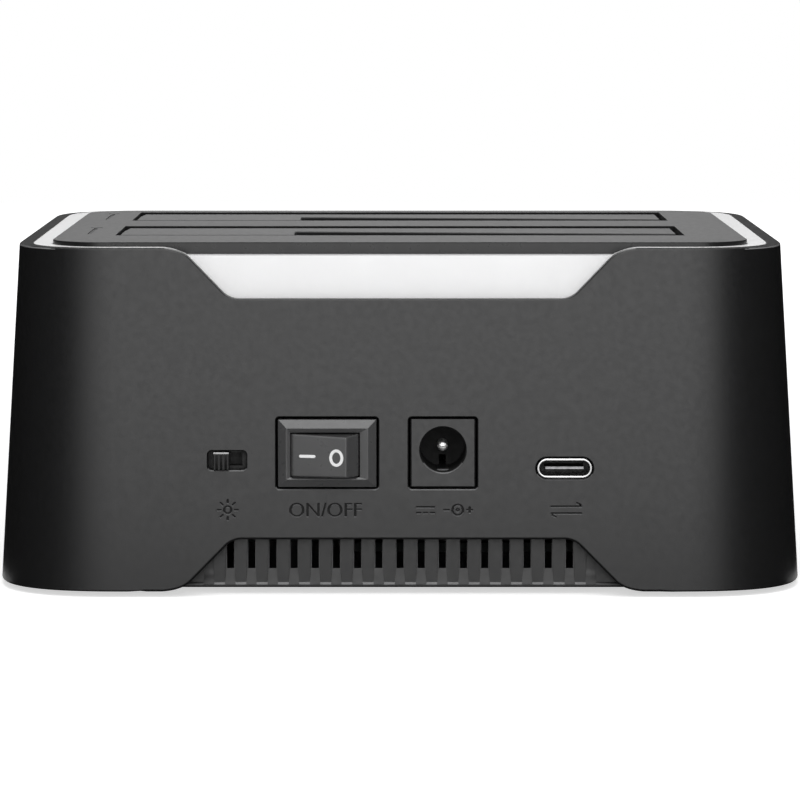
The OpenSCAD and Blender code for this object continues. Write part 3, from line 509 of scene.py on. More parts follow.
def addLabels(bm):
    m, deep, line = marks, 2 * marks["depth"], marks["stroke"]
    addText(bm, m["switchText"], m["switchWide"], m["high"], deep, markSpot(ports["rockerX"] + m["switchX"]))
    spot = markSpot(ports["slideX"] + m["lampX"])  # lamp sign under the light switch
    addRing(bm, 0, 0, m["lampRing"], m["lampRing"], line, deep, spot)
    for i in range(m["rays"]):
        x, y = math.cos(tau * i / m["rays"]), math.sin(tau * i / m["rays"])
        addStroke(bm, m["rayFrom"] * x, m["rayFrom"] * y, m["rayTo"] * x, m["rayTo"] * y, line, deep, spot)
    spot = markSpot(ports["jackX"] + m["poleX"])  # direct current and polarity signs
    x0, y0, x1, y1 = m["dash"]
    dashes = [(x0 + i * m["dashStep"], y0, x1 + i * m["dashStep"], y1) for i in range(m["dashes"])]
    for stroke in (m["line"], *dashes, m["minus"]):
        addStroke(bm, *stroke, line, deep, spot)
    addRing(bm, m["ringX"], 0, m["ring"], m["ring"], line, deep, spot)
    addRing(bm, m["ringX"], 0, m["dot"], m["dot"], m["dotLine"], deep, spot, 16)
    for stroke in m["plus"]:
        addStroke(bm, *stroke, line, deep, spot)
    spot = markSpot(ports["usbX"] + m["arrowX"])  # two-way arrows under the data port
    (x0, y0), (x1, y1), half = m["barbFrom"], m["barbTo"], m["arrowHalf"]
    for s in (-1, 1):
        y = m["arrowY"] * s
        addStroke(bm, -half, y, half, y, line, deep, spot)
        barb = (s * half - s * x0, y + y0 * s, s * half - s * x1, y + y1 * s)
        addStroke(bm, *barb, line * m["barbLine"], deep, spot)


# sleeve with its notches, arches, port cut-outs and engraved marks

sleeve = {"ledge": 3.2, "ledgeThick": 2, "portFrom": -45, "portDeep": 20, "portCorner": 0.6, "slideCorner": 0.7,
          "archEdge": 0.45, "rimEdge": 0.3, "portEdge": 0.18, "riseFrom": 52,
          "portHalf": 42, "portLow": 14, "portHigh": 34, "highlightLow": 12, "markHalf": 40, "markNear": 2.2,
          "archHalf": 45, "archHigh": 12, "archOut": 45,
          "hookY": 26, "hookWide": 7, "hookHigh": 3, "hookIn": 5.1}


def outDistance(v):
    radius = radiusAt(v.co.z)
    ease, power = cornerShape(radius)
    u = max(0.0, abs(v.co.x) - plan["cornerX"] + ease)
    w = max(0.0, abs(v.co.y) - plan["cornerY"] + ease)
    return (u ** power + w ** power) ** (1 / power) - ease - radius


def onOutside(e):
    return all(abs(outDistance(v)) < 0.02 for v in e.verts)


def nearPort(e):
    p, s = middle(e), sleeve
    return p.y < 0 and s["portLow"] < p.z < s["portHigh"] and abs(p.x) < s["portHalf"]


def underArch(e):
    p, s = middle(e), sleeve
    return p.z < s["archHigh"] and abs(p.x) < s["archHalf"] and abs(p.y) > s["archOut"]


def raiseRim(bm, foot, top, front):
    p = plan
    for v in bm.verts:  # the rim stands a little higher towards the front
        along = 0.5 + v.co.y / (2 * (p["cornerY"] + p["rimRadius"]))
        v.co.z += shareOf(v.co.z, foot, top) * (p["rimRear"] + (front - p["rimRear"]) * along)


def makeSleeve():
    p, q, s, wall = plan, ports, sleeve, plan["wall"]
    ledgeZ, inner = p["ringFootZ"], wall + s["ledge"]
    underLedge = ledgeZ - s["ledgeThick"]
    bm = tube([(z, radiusAt(z) - inset) for z, inset in (
        (p["shellZ"], 0), (p["rimZ"], 0), (p["rimZ"], wall), (ledgeZ, wall), (ledgeZ, inner),
        (underLedge, inner), (underLedge, wall), (p["shellZ"], wall))])
    cutter = bmesh.new()
    for side in (-1, 1):
        addNotch(cutter, notch["depth"], side, 1, p["rimZ"])
        shift = notch["archShift"] if side < 0 else 0.0
        addNotch(cutter, notch["archHeight"], side, -1, p["shellZ"], inset=-shift, beside=shift)
    cutWith(bm, cutter)
    cutter = bmesh.new()
    usbRound = q["usbHigh"] / 2 + q["usbGap"] - hair
    for x, z, wide, high, gap, corner, steps in (
            (q["slideX"], q["slideZ"], q["slideWide"], q["slideHigh"], 0, s["slideCorner"], 6),
            (q["rockerX"], q["rockerZ"], q["bezelWide"], q["bezelHigh"], q["gap"], s["portCorner"], 4),
            (q["jackX"], q["jackZ"], q["jackWide"], q["jackHigh"], q["gap"], s["portCorner"], 4),
            (q["usbX"], q["usbZ"], q["usbWide"], q["usbHigh"], q["usbGap"], usbRound, 12)):
        addRounded(cutter, wide / 2 + gap, high / 2 + gap, corner, steps, s["portDeep"],
                   Matrix.Translation((x, s["portFrom"], z)) @ toRear)
    cutWith(bm, cutter)
    soften(bm, lambda e: onOutside(e) and underArch(e), s["archEdge"], 3)
    soften(bm, lambda e: onOutside(e) and not nearPort(e) and not underArch(e), s["rimEdge"], 4)
    soften(bm, lambda e: onOutside(e) and nearPort(e), s["portEdge"], 1)
    cutter = bmesh.new()
    addLabels(cutter)
    cutWith(bm, cutter, True)
    finishes = ["sleeve", "recessShade", "rim", "edgeHighlight", "rimEdge"]
    for f in bm.faces:
        at, n, key = f.calc_center_median(), f.normal, "sleeve"
        rear = at.y < 0
        if n.z > 0.95 and at.z > p["rimZ"] - 0.05:
            key = "rim"
        elif at.z > p["rimZ"] - 0.4 and 0.1 < n.z < 0.97 and abs(n.x) > 0.45 and abs(n.y) > 0.1:
            key = "rimEdge"  # painted highlight on the corners of the rim's bevel
        elif (n.z > 0.4 and n.y < -0.3 and rear and abs(at.x) < s["portHalf"]
                and s["highlightLow"] < at.z < s["portHigh"]):
            key = "edgeHighlight"  # painted highlight on the upward-facing lower edges of the cut-outs and marks
        elif rear and abs(at.x) < s["markHalf"] and abs(at.z - marks["z"]) < s["markNear"]:
            if all(abs(outDistance(v) + marks["depth"]) < 0.03 for v in f.verts):
                key = "recessShade"  # painted shade: the floor of the marks is darker and duller
        f.material_index = finishes.index(key)
    raiseRim(bm, s["riseFrom"], p["rimZ"], p["rimFront"])
    reach, half = p["cornerX"] + radiusAt(p["panZ"]), s["hookWide"] / 2
    for sx in (-1, 1):  # hooks rest on the tray wall
        for y in (-s["hookY"], s["hookY"]):
            addBox(bm, sx * (reach - s["hookIn"]), sx * (reach - wall / 2), y - half, y + half,
                   p["panZ"], p["panZ"] + s["hookHigh"])
    finishPiece("outerSleeve", bm, finishes, "housing", ["outer_shell"])


makeSleeve()


# white diffuser between sleeve and plate

diffuser = {"play": 0.1, "bore": 1.0, "edge": 0.12, "notchOut": 0.25, "notchOver": 0.002, "riseFrom": 0.05}


def makeDiffuser():
    p, d = plan, diffuser
    away = p["wall"] + d["play"]
    lip, bore = p["plateRadius"] + d["play"], p["plateRadius"] - d["bore"]
    bm = tube([(p["ringFootZ"], radiusAt(p["ringFootZ"]) - away), (p["ringZ"], radiusAt(p["ringZ"]) - away),
               (p["ringZ"], lip), (p["underZ"], lip), (p["underZ"], bore), (p["ringFootZ"], bore)])
    cutter = bmesh.new()
    for side in (-1, 1):
        addNotch(cutter, p["ringZ"] - p["underZ"] + d["notchOver"], side, 1, p["ringZ"], inset=-d["notchOut"])
    cutWith(bm, cutter)
    soften(bm, lambda e: middle(e).z > p["underZ"] - 0.1, d["edge"], 2)
    raiseRim(bm, p["underZ"] + d["riseFrom"], p["ringZ"], p["ringFront"])
    finishPiece("lightDiffuser", bm, ["diffuser"], "housing", ["light_ring"])


makeDiffuser()


# top plate with two openings, hinge ears and screw bosses below

plateSet = {"edge": 0.16, "slotEdge": 0.16, "slotCorner": 0.2, "earX": 44.3, "earWide": 1.6, "barrel": 1.6,
            "earRound": 1.3, "bossX": 24.0, "bossRadius": 2.8, "bossFoot": 53.0, "bossBack": 6.2,
            "markX": -56.8, "markHigh": 2.2, "markWide": {"1": 0.9, "2": 1.5}, "markBack": 2.6,
            "barFrom": -6.0, "barTo": 10.0, "barWide": 0.7, "markDeep": 0.26}


def plateReach(v):
    x, y = v.co.x, v.co.y
    return math.hypot(x - clampTo(x, plan["cornerX"]), y - clampTo(y, plan["cornerY"])) - plan["plateRadius"]


def onPlateTop(e):
    return middle(e).z > plan["plateZ"] - hair


def onPlateRim(e):
    return all(abs(plateReach(v)) < hair for v in e.verts)


def makePlate():
    p, b, s = plan, bays, plateSet
    bm = solid([(p["underZ"], p["plateRadius"]), (p["plateZ"], p["plateRadius"])])
    cutter = bmesh.new()
    for y in bayRows.values():
        spot = Matrix.Translation((0, bayMiddle(y), p["underZ"] - 2))
        addRounded(cutter, b["wide"] / 2, b["deep"] / 2, s["slotCorner"], 3, 8, spot)
    cutWith(bm, cutter)
    soften(bm, lambda e: onPlateTop(e) and onPlateRim(e), s["edge"], 3)
    soften(bm, lambda e: onPlateTop(e) and not onPlateRim(e), s["slotEdge"], 2)
    cutter = bmesh.new()
    turn = Matrix.Rotation(math.radians(-90), 4, "Z")
    for y, text in zip(bayRows.values(), s["markWide"]):  # plain bay numbers, read from the left side
        spot = Matrix.Translation((s["markX"], bayMiddle(y), p["plateZ"])) @ turn
        addText(cutter, text, s["markWide"][text], s["markHigh"], s["markDeep"],
                spot @ Matrix.Translation((s["barFrom"] - s["markBack"], 0, 0)))
        addStroke(cutter, s["barFrom"], 0, s["barTo"], 0, s["barWide"], s["markDeep"], spot)
    cutWith(bm, cutter)
    for y in bayRows.values():
        hingeY = hingeAt(y)
        for sx in (-1, 1):
            verts = addBox(bm, sx * s["earX"], sx * (s["earX"] + s["earWide"]), hingeY - s["barrel"],
                           hingeY + s["barrel"], b["pinZ"] - s["barrel"], p["underZ"] + lap)
            low = {e for v in verts for e in v.link_edges if middle(e).z < b["pinZ"]}
            roundOff(bm, [e for e in low if abs(e.verts[0].co.x - e.verts[1].co.x) > 1], s["earRound"], 4)
            addDrum(bm, (sx * s["bossX"], y - s["bossBack"], s["bossFoot"]), s["bossRadius"],
                    p["underZ"] + lap - s["bossFoot"])
    finishes = ["plate", "plateWall", "well", "slotWall"]
    for f in bm.faces:
        key = "slotWall"
        if f.normal.z > 0.99 and s["bossFoot"] + 8 < f.calc_center_median().z < p["plateZ"] - 0.05:
            key = "well"  # painted shade: the floor of the marks takes the darker well finish
        elif f.normal.z > 0.5:
            key = "plate"
        elif all(plateReach(v) > -0.02 for v in f.verts):
            key = "plateWall"
        f.material_index = finishes.index(key)
    finishPiece("topPlate", bm, finishes, "housing", ["top_plate"])


makePlate()


# sprung lids over the bays

lid = {"faceZ": 61.6, "thick": 1.6, "end": 0.8, "near": 0.6, "far": 0.4, "slitWide": 71.0, "slitDeep": 10.6,
       "edge": 0.22, "corner": 0.3, "knuckles": (-41, 0, 41), "knuckleWide": 6.0, "barrel": 1.6, "bore": 1.05,
       "web": ((-7, 2.2), (-3.6, 2.2), (-3.6, 1.5), (-1.2, 1.0), (-1.2, -0.95)),
       "stopX": (-44, -30), "stopReach": 1.2, "stopIn": 3.0, "stopThick": 1.1, "stopDrop": 0.3,
       "lift": 0.44, "fold": 0.6, "undercut": 1.5}


def makeLid(row, y):
    b, s = bays, lid
    x1, slitX = b["wide"] / 2 - s["end"], b["wide"] / 2 - s["slitWide"]
    y0, yMid, y1 = y + s["near"], y + s["slitDeep"], y + b["deep"] - s["far"]
    bottom, hingeY, fold = s["faceZ"] - s["thick"], hingeAt(y), s["fold"]
    bm = bmesh.new()
    addPrism(bm, [(-x1, y0), (slitX, y0), (slitX, yMid), (x1, yMid), (x1, y1), (-x1, y1)], s["thick"],
             Matrix.Translation((0, 0, bottom)))
    turnOut(bm)
    roundOff(bm, [e for e in bm.edges if abs(e.verts[0].co.z - e.verts[1].co.z) > 1], s["corner"], 4)
    soften(bm, lambda e: middle(e).z > s["faceZ"] - hair, s["edge"], 3)
    for v in bm.verts:  # undercut along the narrow slit
        if v.co.x > slitX + 1 and v.co.y < yMid + 0.3 and v.co.z < bottom + 0.1:
            v.co.y += s["undercut"]
    for spot, way in (((slitX - fold, 0, 0), (1, 0, 0)), ((0, yMid + fold, 0), (0, 1, 0))):
        bmesh.ops.bisect_plane(bm, geom=bm.verts[:] + bm.edges[:] + bm.faces[:], dist=0.001,
                               plane_co=spot, plane_no=way)
    for v in bm.verts:  # the spring lifts the left end of the free edge
        far = shareOf(y1 - v.co.y, 0, y1 - yMid - fold)
        v.co.z += s["lift"] * far * (1 - max(0.0, (v.co.x - slitX + fold) / (x1 - slitX + fold)))
    under = plan["underZ"] - s["stopDrop"]
    addBox(bm, *s["stopX"], y - s["stopReach"], y + s["stopIn"], under - s["stopThick"], under)
    addBox(bm, *s["stopX"], y0, y + s["stopIn"], under - lap, bottom + lap)
    for x in s["knuckles"]:
        addRing(bm, 0, 0, s["barrel"], s["barrel"], s["barrel"] - s["bore"], s["knuckleWide"],
                Matrix.Translation((x, hingeY, b["pinZ"])) @ alongX)
        addPrism(bm, s["web"], s["knuckleWide"],
                 Matrix.Translation((x - s["knuckleWide"] / 2, hingeY, b["pinZ"])) @ acrossX)
    turnOut(bm)
    finishPiece(row + "BayLid", bm, ["flap"], row + "_flap", [row + "_bay_flap"])


for row, y in bayRows.items():
    makeLid(row, y)


# closing springs: the coil stays on the pin, its long leg goes with the lid

spring = {"x": -36.5, "turns": 4, "pitch": 0.9, "mean": 1.6, "wire": 0.28, "stepsPerTurn": 20, "sides": 8,
          "rise": 1.72, "legBeside": 0.6, "legBack": 6.0}


def makeSpring(row, y):
    s = spring
    hinge = Vector((0, hingeAt(y), bays["pinZ"]))
    bm = bmesh.new()
    turn = Matrix.Translation(hinge + Vector((s["x"], s["mean"], 0)))
    verts = bmesh.ops.create_circle(bm, cap_ends=False, segments=s["sides"], radius=s["wire"],
                                    matrix=turn)["verts"]
    edges = list({e for v in verts for e in v.link_edges})
    bmesh.ops.spin(bm, geom=verts + edges, cent=hinge, axis=(1, 0, 0), angle=-tau * s["turns"],
                   dvec=(s["pitch"] / s["stepsPerTurn"], 0, 0), steps=s["turns"] * s["stepsPerTurn"],
                   use_merge=False)
    bmesh.ops.holes_fill(bm, edges=[e for e in bm.edges if e.is_boundary], sides=s["sides"])
    addDrum(bm, hinge + Vector((s["x"], s["mean"], -0.1)), s["wire"], s["rise"], steps=s["sides"])
    turnOut(bm)
    finishPiece(row + "SpringCoil", bm, ["steel"], "housing", [row + "_flap_spring"])
    bm = bmesh.new()
    legX = s["x"] + s["pitch"] * s["turns"] + s["legBeside"]
    start, end = hinge + Vector((legX, -s["mean"], 0)), hinge + Vector((legX, -s["legBack"], s["rise"]))
    line = end - start
    addDrum(bm, start, s["wire"], line.length, line.to_track_quat("Z", "Y").to_matrix().to_4x4(), s["sides"])
    turnOut(bm)
    finishPiece(row + "SpringLeg", bm, ["steel"], row + "_flap")


for row, y in bayRows.items():
    makeSpring(row, y)


# floor pan with a vented wall behind each arch

tray = {"inset": 4.0, "edge": 0.3, "step": 0.45, "wall": 2.2, "sillIn": 0.25, "sillDrop": 0.4,
        "rampFoot": 1.66, "rampBend": 3.0, "rampTop": 4.4, "rampIn": (0.38, 0.92, 1.6), "slitIn": 1.4,
        "vents": 19, "pitch": 3.755, "ventTop": 1.4, "ventFoot": 1.85, "ventSlit": 1.26, "ventDrop": 1.2,
        "seat": 1.0, "seatPlay": 0.1, "footX": 54.9, "footY": 42.9, "footRadius": 6.0,
        "screwX": 48.4, "screwHead": 2.6, "screwDeep": 1.1,
        "posts": ((47, -31.05, 6.4), (47, 43.15, 6.4), (41, -47.1, 16.8)), "postRadius": 3,
        "highlightHalf": 38, "highlightOut": 45, "highlightLarge": 2}


def makeTray():
    p, t = plan, tray
    out = lambda z, more: (z, radiusAt(z) - t["inset"] - more)
    bm = solid([out(p["baseZ"], t["edge"]), out(p["baseZ"] + t["edge"], 0), out(p["sillZ"] - t["sillDrop"], 0),
                out(p["sillZ"], t["sillIn"]), out(p["sillZ"], t["step"]), out(p["panZ"], t["step"]),
                out(p["panZ"], t["wall"]), out(p["floorZ"], t["wall"])])
    recess, cutter = bmesh.new(), bmesh.new()
    wallY = p["cornerY"] + radiusAt(p["baseZ"]) - t["inset"]
    outside, inside, top = wallY + 1, wallY - t["wall"] - t["slitIn"], p["panZ"] - t["ventDrop"]
    footY, bendY, back = (wallY - deep for deep in t["rampIn"])
    ramp = [(outside, t["rampFoot"]), (footY, t["rampFoot"]), (bendY, t["rampBend"]), (back, t["rampTop"]),
            (back, top), (outside, top)]
    slit = [(outside, t["rampTop"]), (inside, t["rampTop"]), (inside, top), (outside, top)]
    flare = Matrix.Diagonal((t["ventFoot"] / t["ventTop"], 1, 1, 1))
    for side in (-1, 1):
        for i in range(t["vents"]):
            x = (i - (t["vents"] - 1) / 2) * t["pitch"]
            verts = addPrism(recess, [(side * y, z) for y, z in ramp], t["ventTop"],
                             Matrix.Translation((x - t["ventTop"] / 2, 0, 0)) @ acrossX)
            bmesh.ops.transform(recess, verts=[v for v in verts if v.co.z < t["rampTop"] + 0.1],
                                matrix=Matrix.Translation((x, 0, 0)) @ flare @ Matrix.Translation((-x, 0, 0)))
            if 0 < i < t["vents"] - 1:  # the end recesses are blind
                addPrism(cutter, [(side * y, z) for y, z in slit], t["ventSlit"],
                         Matrix.Translation((x - t["ventSlit"] / 2, 0, 0)) @ acrossX)
    cutWith(bm, recess)
    below = p["baseZ"] - 1
    for sx in (-1, 1):
        for sy in (-1, 1):
            addDrum(cutter, (sx * t["footX"], sy * t["footY"], below), t["footRadius"] + t["seatPlay"],
                    1 + t["seat"], steps=48)
        for y in bayRows.values():
            addDrum(cutter, (sx * t["screwX"], bayMiddle(y), below), t["screwHead"], 1 + t["screwDeep"])
    cutWith(bm, cutter)
    for sx in (-1, 1):  # posts for the two boards
        for x, y, top in t["posts"]:
            addDrum(bm, (sx * x, y, p["floorZ"] - lap), t["postRadius"], top - p["floorZ"] + lap)
    turnOut(bm)
    for f in bm.faces:  # painted highlight on the sill's chamfer at the foot of each rib
        at = f.calc_center_median()
        chamfer = 0.5 < f.normal.z < 0.75 and p["sillZ"] - t["sillDrop"] - 0.05 < at.z < p["sillZ"] + 0.05
        behindArch = abs(at.x) < t["highlightHalf"] and abs(at.y) > t["highlightOut"]
        f.material_index = 1 if chamfer and behindArch and f.calc_area() < t["highlightLarge"] else 0
    finishPiece("baseTray", bm, ["tray", "edgeHighlight"], "housing", ["base_tray"])


makeTray()


# power rocker: bezel and body, then the button with its marks

rocker = {"out": 1.3, "bevel": 1.45, "bevelDeep": 1.15, "pocketX": 12.17, "pocketZ": 7.85, "pocketDeep": 9.0,
          "bodyDeep": 14.0, "bandIn": 0.3, "lip": 0.6, "room": 0.85, "roomZ": 0.15, "besideX": -0.35,
          "belowZ": -0.2, "edge": 0.1, "clipOut": 0.6, "clipFrom": 0.5, "clipTo": 4, "clipHalf": 2,
          "pivotIn": 2.0, "face": 4.8, "half": 4.9, "flank": 6.35, "flankFrom": 2, "flankTo": 0.6,
          "backHalf": 4.6, "back": 2.4, "high": 7.5, "tilt": 12.0, "slope": 0.42, "buttonEdge": 0.3,
          "axle": 1.1, "axleOut": 0.9, "markLine": 0.52, "markRise": 0.05,
          "bar": (-3.36, -0.08, -0.92, -0.08), "ring": (3.08, -0.26, 1.26, 1.52)}


def rectLoft(bm, stations, centre):
    verts = bmesh.ops.create_grid(bm, x_segments=1, y_segments=1, size=1)["verts"]
    faces = [verts[0].link_faces[0]]
    bmesh.ops.transform(bm, matrix=toRear, verts=verts)

    def setTo(verts, y, halfX, halfZ, beside=0.0, below=0.0):
        for v in verts:
            v.co = (centre[0] + beside + math.copysign(halfX, v.co.x - centre[0]), y,
                    centre[1] + below + math.copysign(halfZ, v.co.z - centre[1]))

    for v in verts:
        v.co = (centre[0] + v.co.x, 0, centre[1] + v.co.z)
    setTo(verts, *stations[0])
    for i, station in enumerate(stations[1:]):
        faces = extrudeFaces(bm, faces, i > 0)
        setTo(faceVerts(faces), *station)
    turnOut(bm)


def makeBezel(y):
    q, r = ports, rocker
    front, w, h = y - r["out"], q["bezelWide"] / 2, q["bezelHigh"] / 2
    bw, bh = q["bodyWide"] / 2, q["bodyHigh"] / 2
    pocketX, pocketZ, aside = r["pocketX"] / 2, r["pocketZ"] / 2, (r["besideX"], r["belowZ"])
    pocket = (pocketX, pocketZ, *aside)
    room = (pocketX + r["room"], pocketZ + r["roomZ"], *aside)  # wider behind the lip, for the swing
    bm = bmesh.new()
    rectLoft(bm, [(y + r["bodyDeep"], bw, bh), (y + q["bezelSeat"], bw, bh), (y + q["bezelSeat"], w, h),
                  (front + r["bevelDeep"], w, h), (front, w - r["bevel"], h - r["bevel"]),
                  (front + r["bandIn"], *pocket), (front + r["lip"], *pocket), (front + r["lip"], *room),
                  (y + r["pocketDeep"], *room)], (q["rockerX"], q["rockerZ"]))
    soften(bm, lambda e: middle(e).y < y + 0.7, r["edge"], 2, least=15)
    back = y + plan["wall"]
    for s in (-1, 1):  # clips behind the wall
        addBox(bm, q["rockerX"] + s * (bw - lap), q["rockerX"] + s * (bw + r["clipOut"]), back + r["clipFrom"],
               back + r["clipTo"], q["rockerZ"] - r["clipHalf"], q["rockerZ"] + r["clipHalf"])
    finishPiece("rockerBezel", bm, ["switch"], "housing", ["rocker_housing"])


def makeButton(y):
    r, half, face, flank = rocker, rocker["half"], rocker["face"], rocker["flank"]
    axis = (ports["rockerX"] + r["besideX"], y + r["pivotIn"], ports["rockerZ"] + r["belowZ"])
    pivot = Matrix.Translation(axis) @ Matrix.Rotation(math.radians(-r["tilt"]), 4, "Z")
    bm = bmesh.new()
    right = [(half, -face), (flank, -r["flankFrom"]), (flank, -r["flankTo"]), (r["backHalf"], r["back"])]
    left = [(-x, depth) for x, depth in right]
    addPrism(bm, left[:1] + right + left[:0:-1], r["high"], Matrix.Translation((0, 0, -r["high"] / 2)))
    turnOut(bm)
    for v in bm.verts:  # the face narrows towards its raised end
        if v.co.y < 1 - face and v.co.z > 0:
            v.co.z -= r["slope"] * (v.co.x + half) / (2 * half)
    soften(bm, lambda e: middle(e).y < -0.5, r["buttonEdge"], 4)
    addDrum(bm, (0, 0, -r["high"] / 2 - r["axleOut"]), r["axle"], r["high"] + 2 * r["axleOut"])
    bmesh.ops.transform(bm, matrix=pivot, verts=bm.verts)
    finishPiece("rockerButton", bm, ["switch"], "rocker", ["rocker_button"])
    bm = bmesh.new()
    flat = pivot @ Matrix.Translation((0, -face, 0)) @ toRear
    addStroke(bm, *r["bar"], r["markLine"], 2 * r["markRise"], flat)
    addRing(bm, *r["ring"], r["markLine"], 2 * r["markRise"], flat, 40)
    finishPiece("rockerMarks", bm, ["paint"], "rocker")


makeBezel(faceY(ports["rockerZ"]))
makeButton(faceY(ports["rockerZ"]))


# power inlet, its pin and mouth

inlet = {"long": 14.0, "bore": 4.0, "boreRise": 0.58, "boreDeep": 10.5, "edge": 0.2, "mouth": 0.7, "around": 0.4,
         "slot": 0.6, "slotFrom": 2.5, "slotLow": 0.3, "slotHigh": 2.0,
         "footIn": 0.5, "footFrom": 5.0, "footTop": 19.2,
         "pin": 0.95, "pinIn": 6.0, "pinOut": 0.4, "dome": 0.34, "slit": 0.16, "slitDeep": 1.2,
         "tip": ((0, 1), (0.3, 0.93), (0.6, 0.7), (0.84, 0.36), (1, -0.3))}


def makeInlet():
    q, s = ports, inlet
    y, x, z = faceY(q["jackZ"]), q["jackX"], q["jackZ"]
    w, h, end, boreZ = q["jackWide"] / 2, q["jackHigh"] / 2, y + s["long"], z + s["boreRise"]
    bm = bmesh.new()
    for v in addBox(bm, x - w, x + w, y, end, z - h, z + h):
        if v.co.y < y + 1:
            v.co.y = faceY(v.co.z)
    cutter = bmesh.new()
    addDrum(cutter, (x, y - 3, boreZ), s["bore"], 3 + s["boreDeep"], alongY, 64)
    cutWith(bm, cutter)
    cutter = bmesh.new()
    addBox(cutter, x - s["slot"], x + s["slot"], y + s["slotFrom"], end + 1, boreZ - s["bore"] - s["slotLow"],
           boreZ - s["slotHigh"])
    cutWith(bm, cutter)
    soften(bm, lambda e: middle(e).y < y + 0.35, s["edge"], 1)
    for f in bm.faces:  # painted shade darkens the bore, and a painted highlight lightens the mouth's lower edge
        at, f.material_index = f.calc_center_median(), 0
        if math.hypot(at.x - x, at.z - boreZ) < s["bore"] + s["around"]:
            if at.y > y + s["mouth"]:
                f.material_index = 1
            elif at.y < y + s["mouth"] and f.normal.z > 0.45:
                f.material_index = 2
    addBox(bm, x - w + s["footIn"], x + w - s["footIn"], y + s["footFrom"], end, q["boardZ"], s["footTop"])
    finishPiece("powerInlet", bm, ["inlet", "recessShade", "edgeHighlight"], "housing", ["dc_jack_body"])
    bm = bmesh.new()
    tip = y + s["pinIn"]
    outline = [(s["pin"] * r, tip - s["dome"] * h) for r, h in s["tip"]]
    outline += [(s["pin"], end + s["pinOut"]), (0, end + s["pinOut"])]
    spinOutline(bm, outline, (x, 0, boreZ), (0, 1, 0), 32)
    cutter = bmesh.new()
    addBox(cutter, x - 2, x + 2, tip - 2, tip + s["slitDeep"], boreZ - s["slit"] / 2, boreZ + s["slit"] / 2)
    cutWith(bm, cutter)
    finishPiece("inletPin", bm, ["pin"], "housing", ["dc_jack_pin"], smooth=60)


makeInlet()


# data port: metal sleeve and tongue

dataPort = {"wall": 0.44, "long": 8.0, "proud": 0.25, "edge": 0.12, "legs": (3.4, 6.4), "legIn": 2.4,
            "legHalf": 0.4, "legLong": 1.2, "legUp": 0.2,
            "tongueX": 6.8, "tongueZ": 0.5, "tongueIn": 1.0, "tongueEnd": 2.0, "tongueSlope": 0.16,
            "tongueEdge": 0.05, "plug": 2.2}


def makeDataPort():
    q, s = ports, dataPort
    x, z, w, h = q["usbX"], q["usbZ"], q["usbWide"] / 2, q["usbHigh"] / 2
    y0 = faceY(z) - s["proud"]
    end = Matrix.Translation((x, y0 + s["long"], z)) @ toRear
    bm = bmesh.new()
    hollowOut(bm, roundedFace(bm, w, h, h - 0.005, 12), s["wall"], s["long"])
    bmesh.ops.transform(bm, matrix=end, verts=bm.verts)
    turnOut(bm)
    soften(bm, lambda e: middle(e).y < y0 + 0.05, s["edge"], 3)
    for sx in (-1, 1):
        legX = x + sx * (w - s["legIn"])
        for y in s["legs"]:
            addBox(bm, legX - s["legHalf"], legX + s["legHalf"], y0 + y, y0 + y + s["legLong"],
                   q["boardZ"], z - h + s["legUp"])
    finishPiece("dataPortSleeve", bm, ["bright"], "housing", ["usb_c_shell"])
    bm = bmesh.new()
    tongueY = y0 + s["tongueIn"]
    addBox(bm, x - s["tongueX"] / 2, x + s["tongueX"] / 2, tongueY, y0 + s["long"] - s["tongueEnd"],
           z - s["tongueZ"] / 2, z + s["tongueZ"] / 2)
    for v in bm.verts:  # its front leans back a little
        if v.co.y < tongueY + hair and v.co.z > z:
            v.co.y += s["tongueSlope"]
    soften(bm, lambda e: middle(e).y < tongueY + 0.2, s["tongueEdge"], 1)
    addRounded(bm, w - s["wall"] - lap, h - s["wall"] - lap, h - s["wall"] - 0.03, 8, s["plug"], end)
    for f in bm.faces:  # steel shows along the tongue's front edge
        f.material_index = 1 if f.calc_center_median().y < tongueY + 0.2 and f.normal.y < -0.8 else 0
    finishPiece("dataPortTongue", bm, ["socket", "dullSteel"], "housing", ["usb_c_tongue"])


makeDataPort()


# light switch knob with grip ridges

knob = {"x": -31.4, "z": 24.1, "wide": 2.7, "high": 3.1, "out": 1.0, "groove": 0.3, "grooveDeep": 0.3,
        "grooveStep": 0.8, "grooveTop": 0.35, "edge": 0.08, "topEdge": 0.26, "behind": 0.3,
        "stem": (0.9, 0.8), "stemEnd": 1.5, "shoe": (1.4, 1.1), "shoeFrom": 1.3, "shoeEnd": 3.0}


def makeKnob():
    k = knob
    x, z, half, y = k["x"], k["z"], k["wide"] / 2, faceY(k["z"])
    top, back = z + k["high"] / 2, y + plan["wall"]
    y0, y1 = y - k["out"], back - k["behind"]
    bm = bmesh.new()
    addBox(bm, x - half, x + half, y0, y1, z - k["high"] / 2, top)
    cutter = bmesh.new()
    for i in (-1, 0, 1):
        grooveX = x + i * k["grooveStep"]
        addBox(cutter, grooveX - k["groove"] / 2, grooveX + k["groove"] / 2, y0 - 1, y0 + k["grooveDeep"],
               z - k["high"], top - k["grooveTop"])
    cutWith(bm, cutter)
    soften(bm, lambda e: middle(e).y < y0 + hair and middle(e).z > top - hair, k["topEdge"], 1)
    soften(bm, lambda e: middle(e).y < y0 + 0.4 and middle(e).z < top - k["grooveTop"] - hair, k["edge"], 2)
    for f in bm.faces:  # painted highlight on the upper edge
        slope = f.normal.z > 0.4 and f.normal.y < -0.4
        f.material_index = 1 if slope and f.calc_center_median().z > top - 0.3 else 0
    for (w, h), start, end in ((k["stem"], y1 - lap, back + k["stemEnd"]),
                               (k["shoe"], back + k["shoeFrom"], back + k["shoeEnd"])):
        addBox(bm, x - w, x + w, start, end, z - h, z + h)
    finishPiece("lightSwitchKnob", bm, ["knob", "knobHighlight"], "slide_knob", ["slide_switch_knob"])


makeKnob()


# rubber feet and the screws seen from below

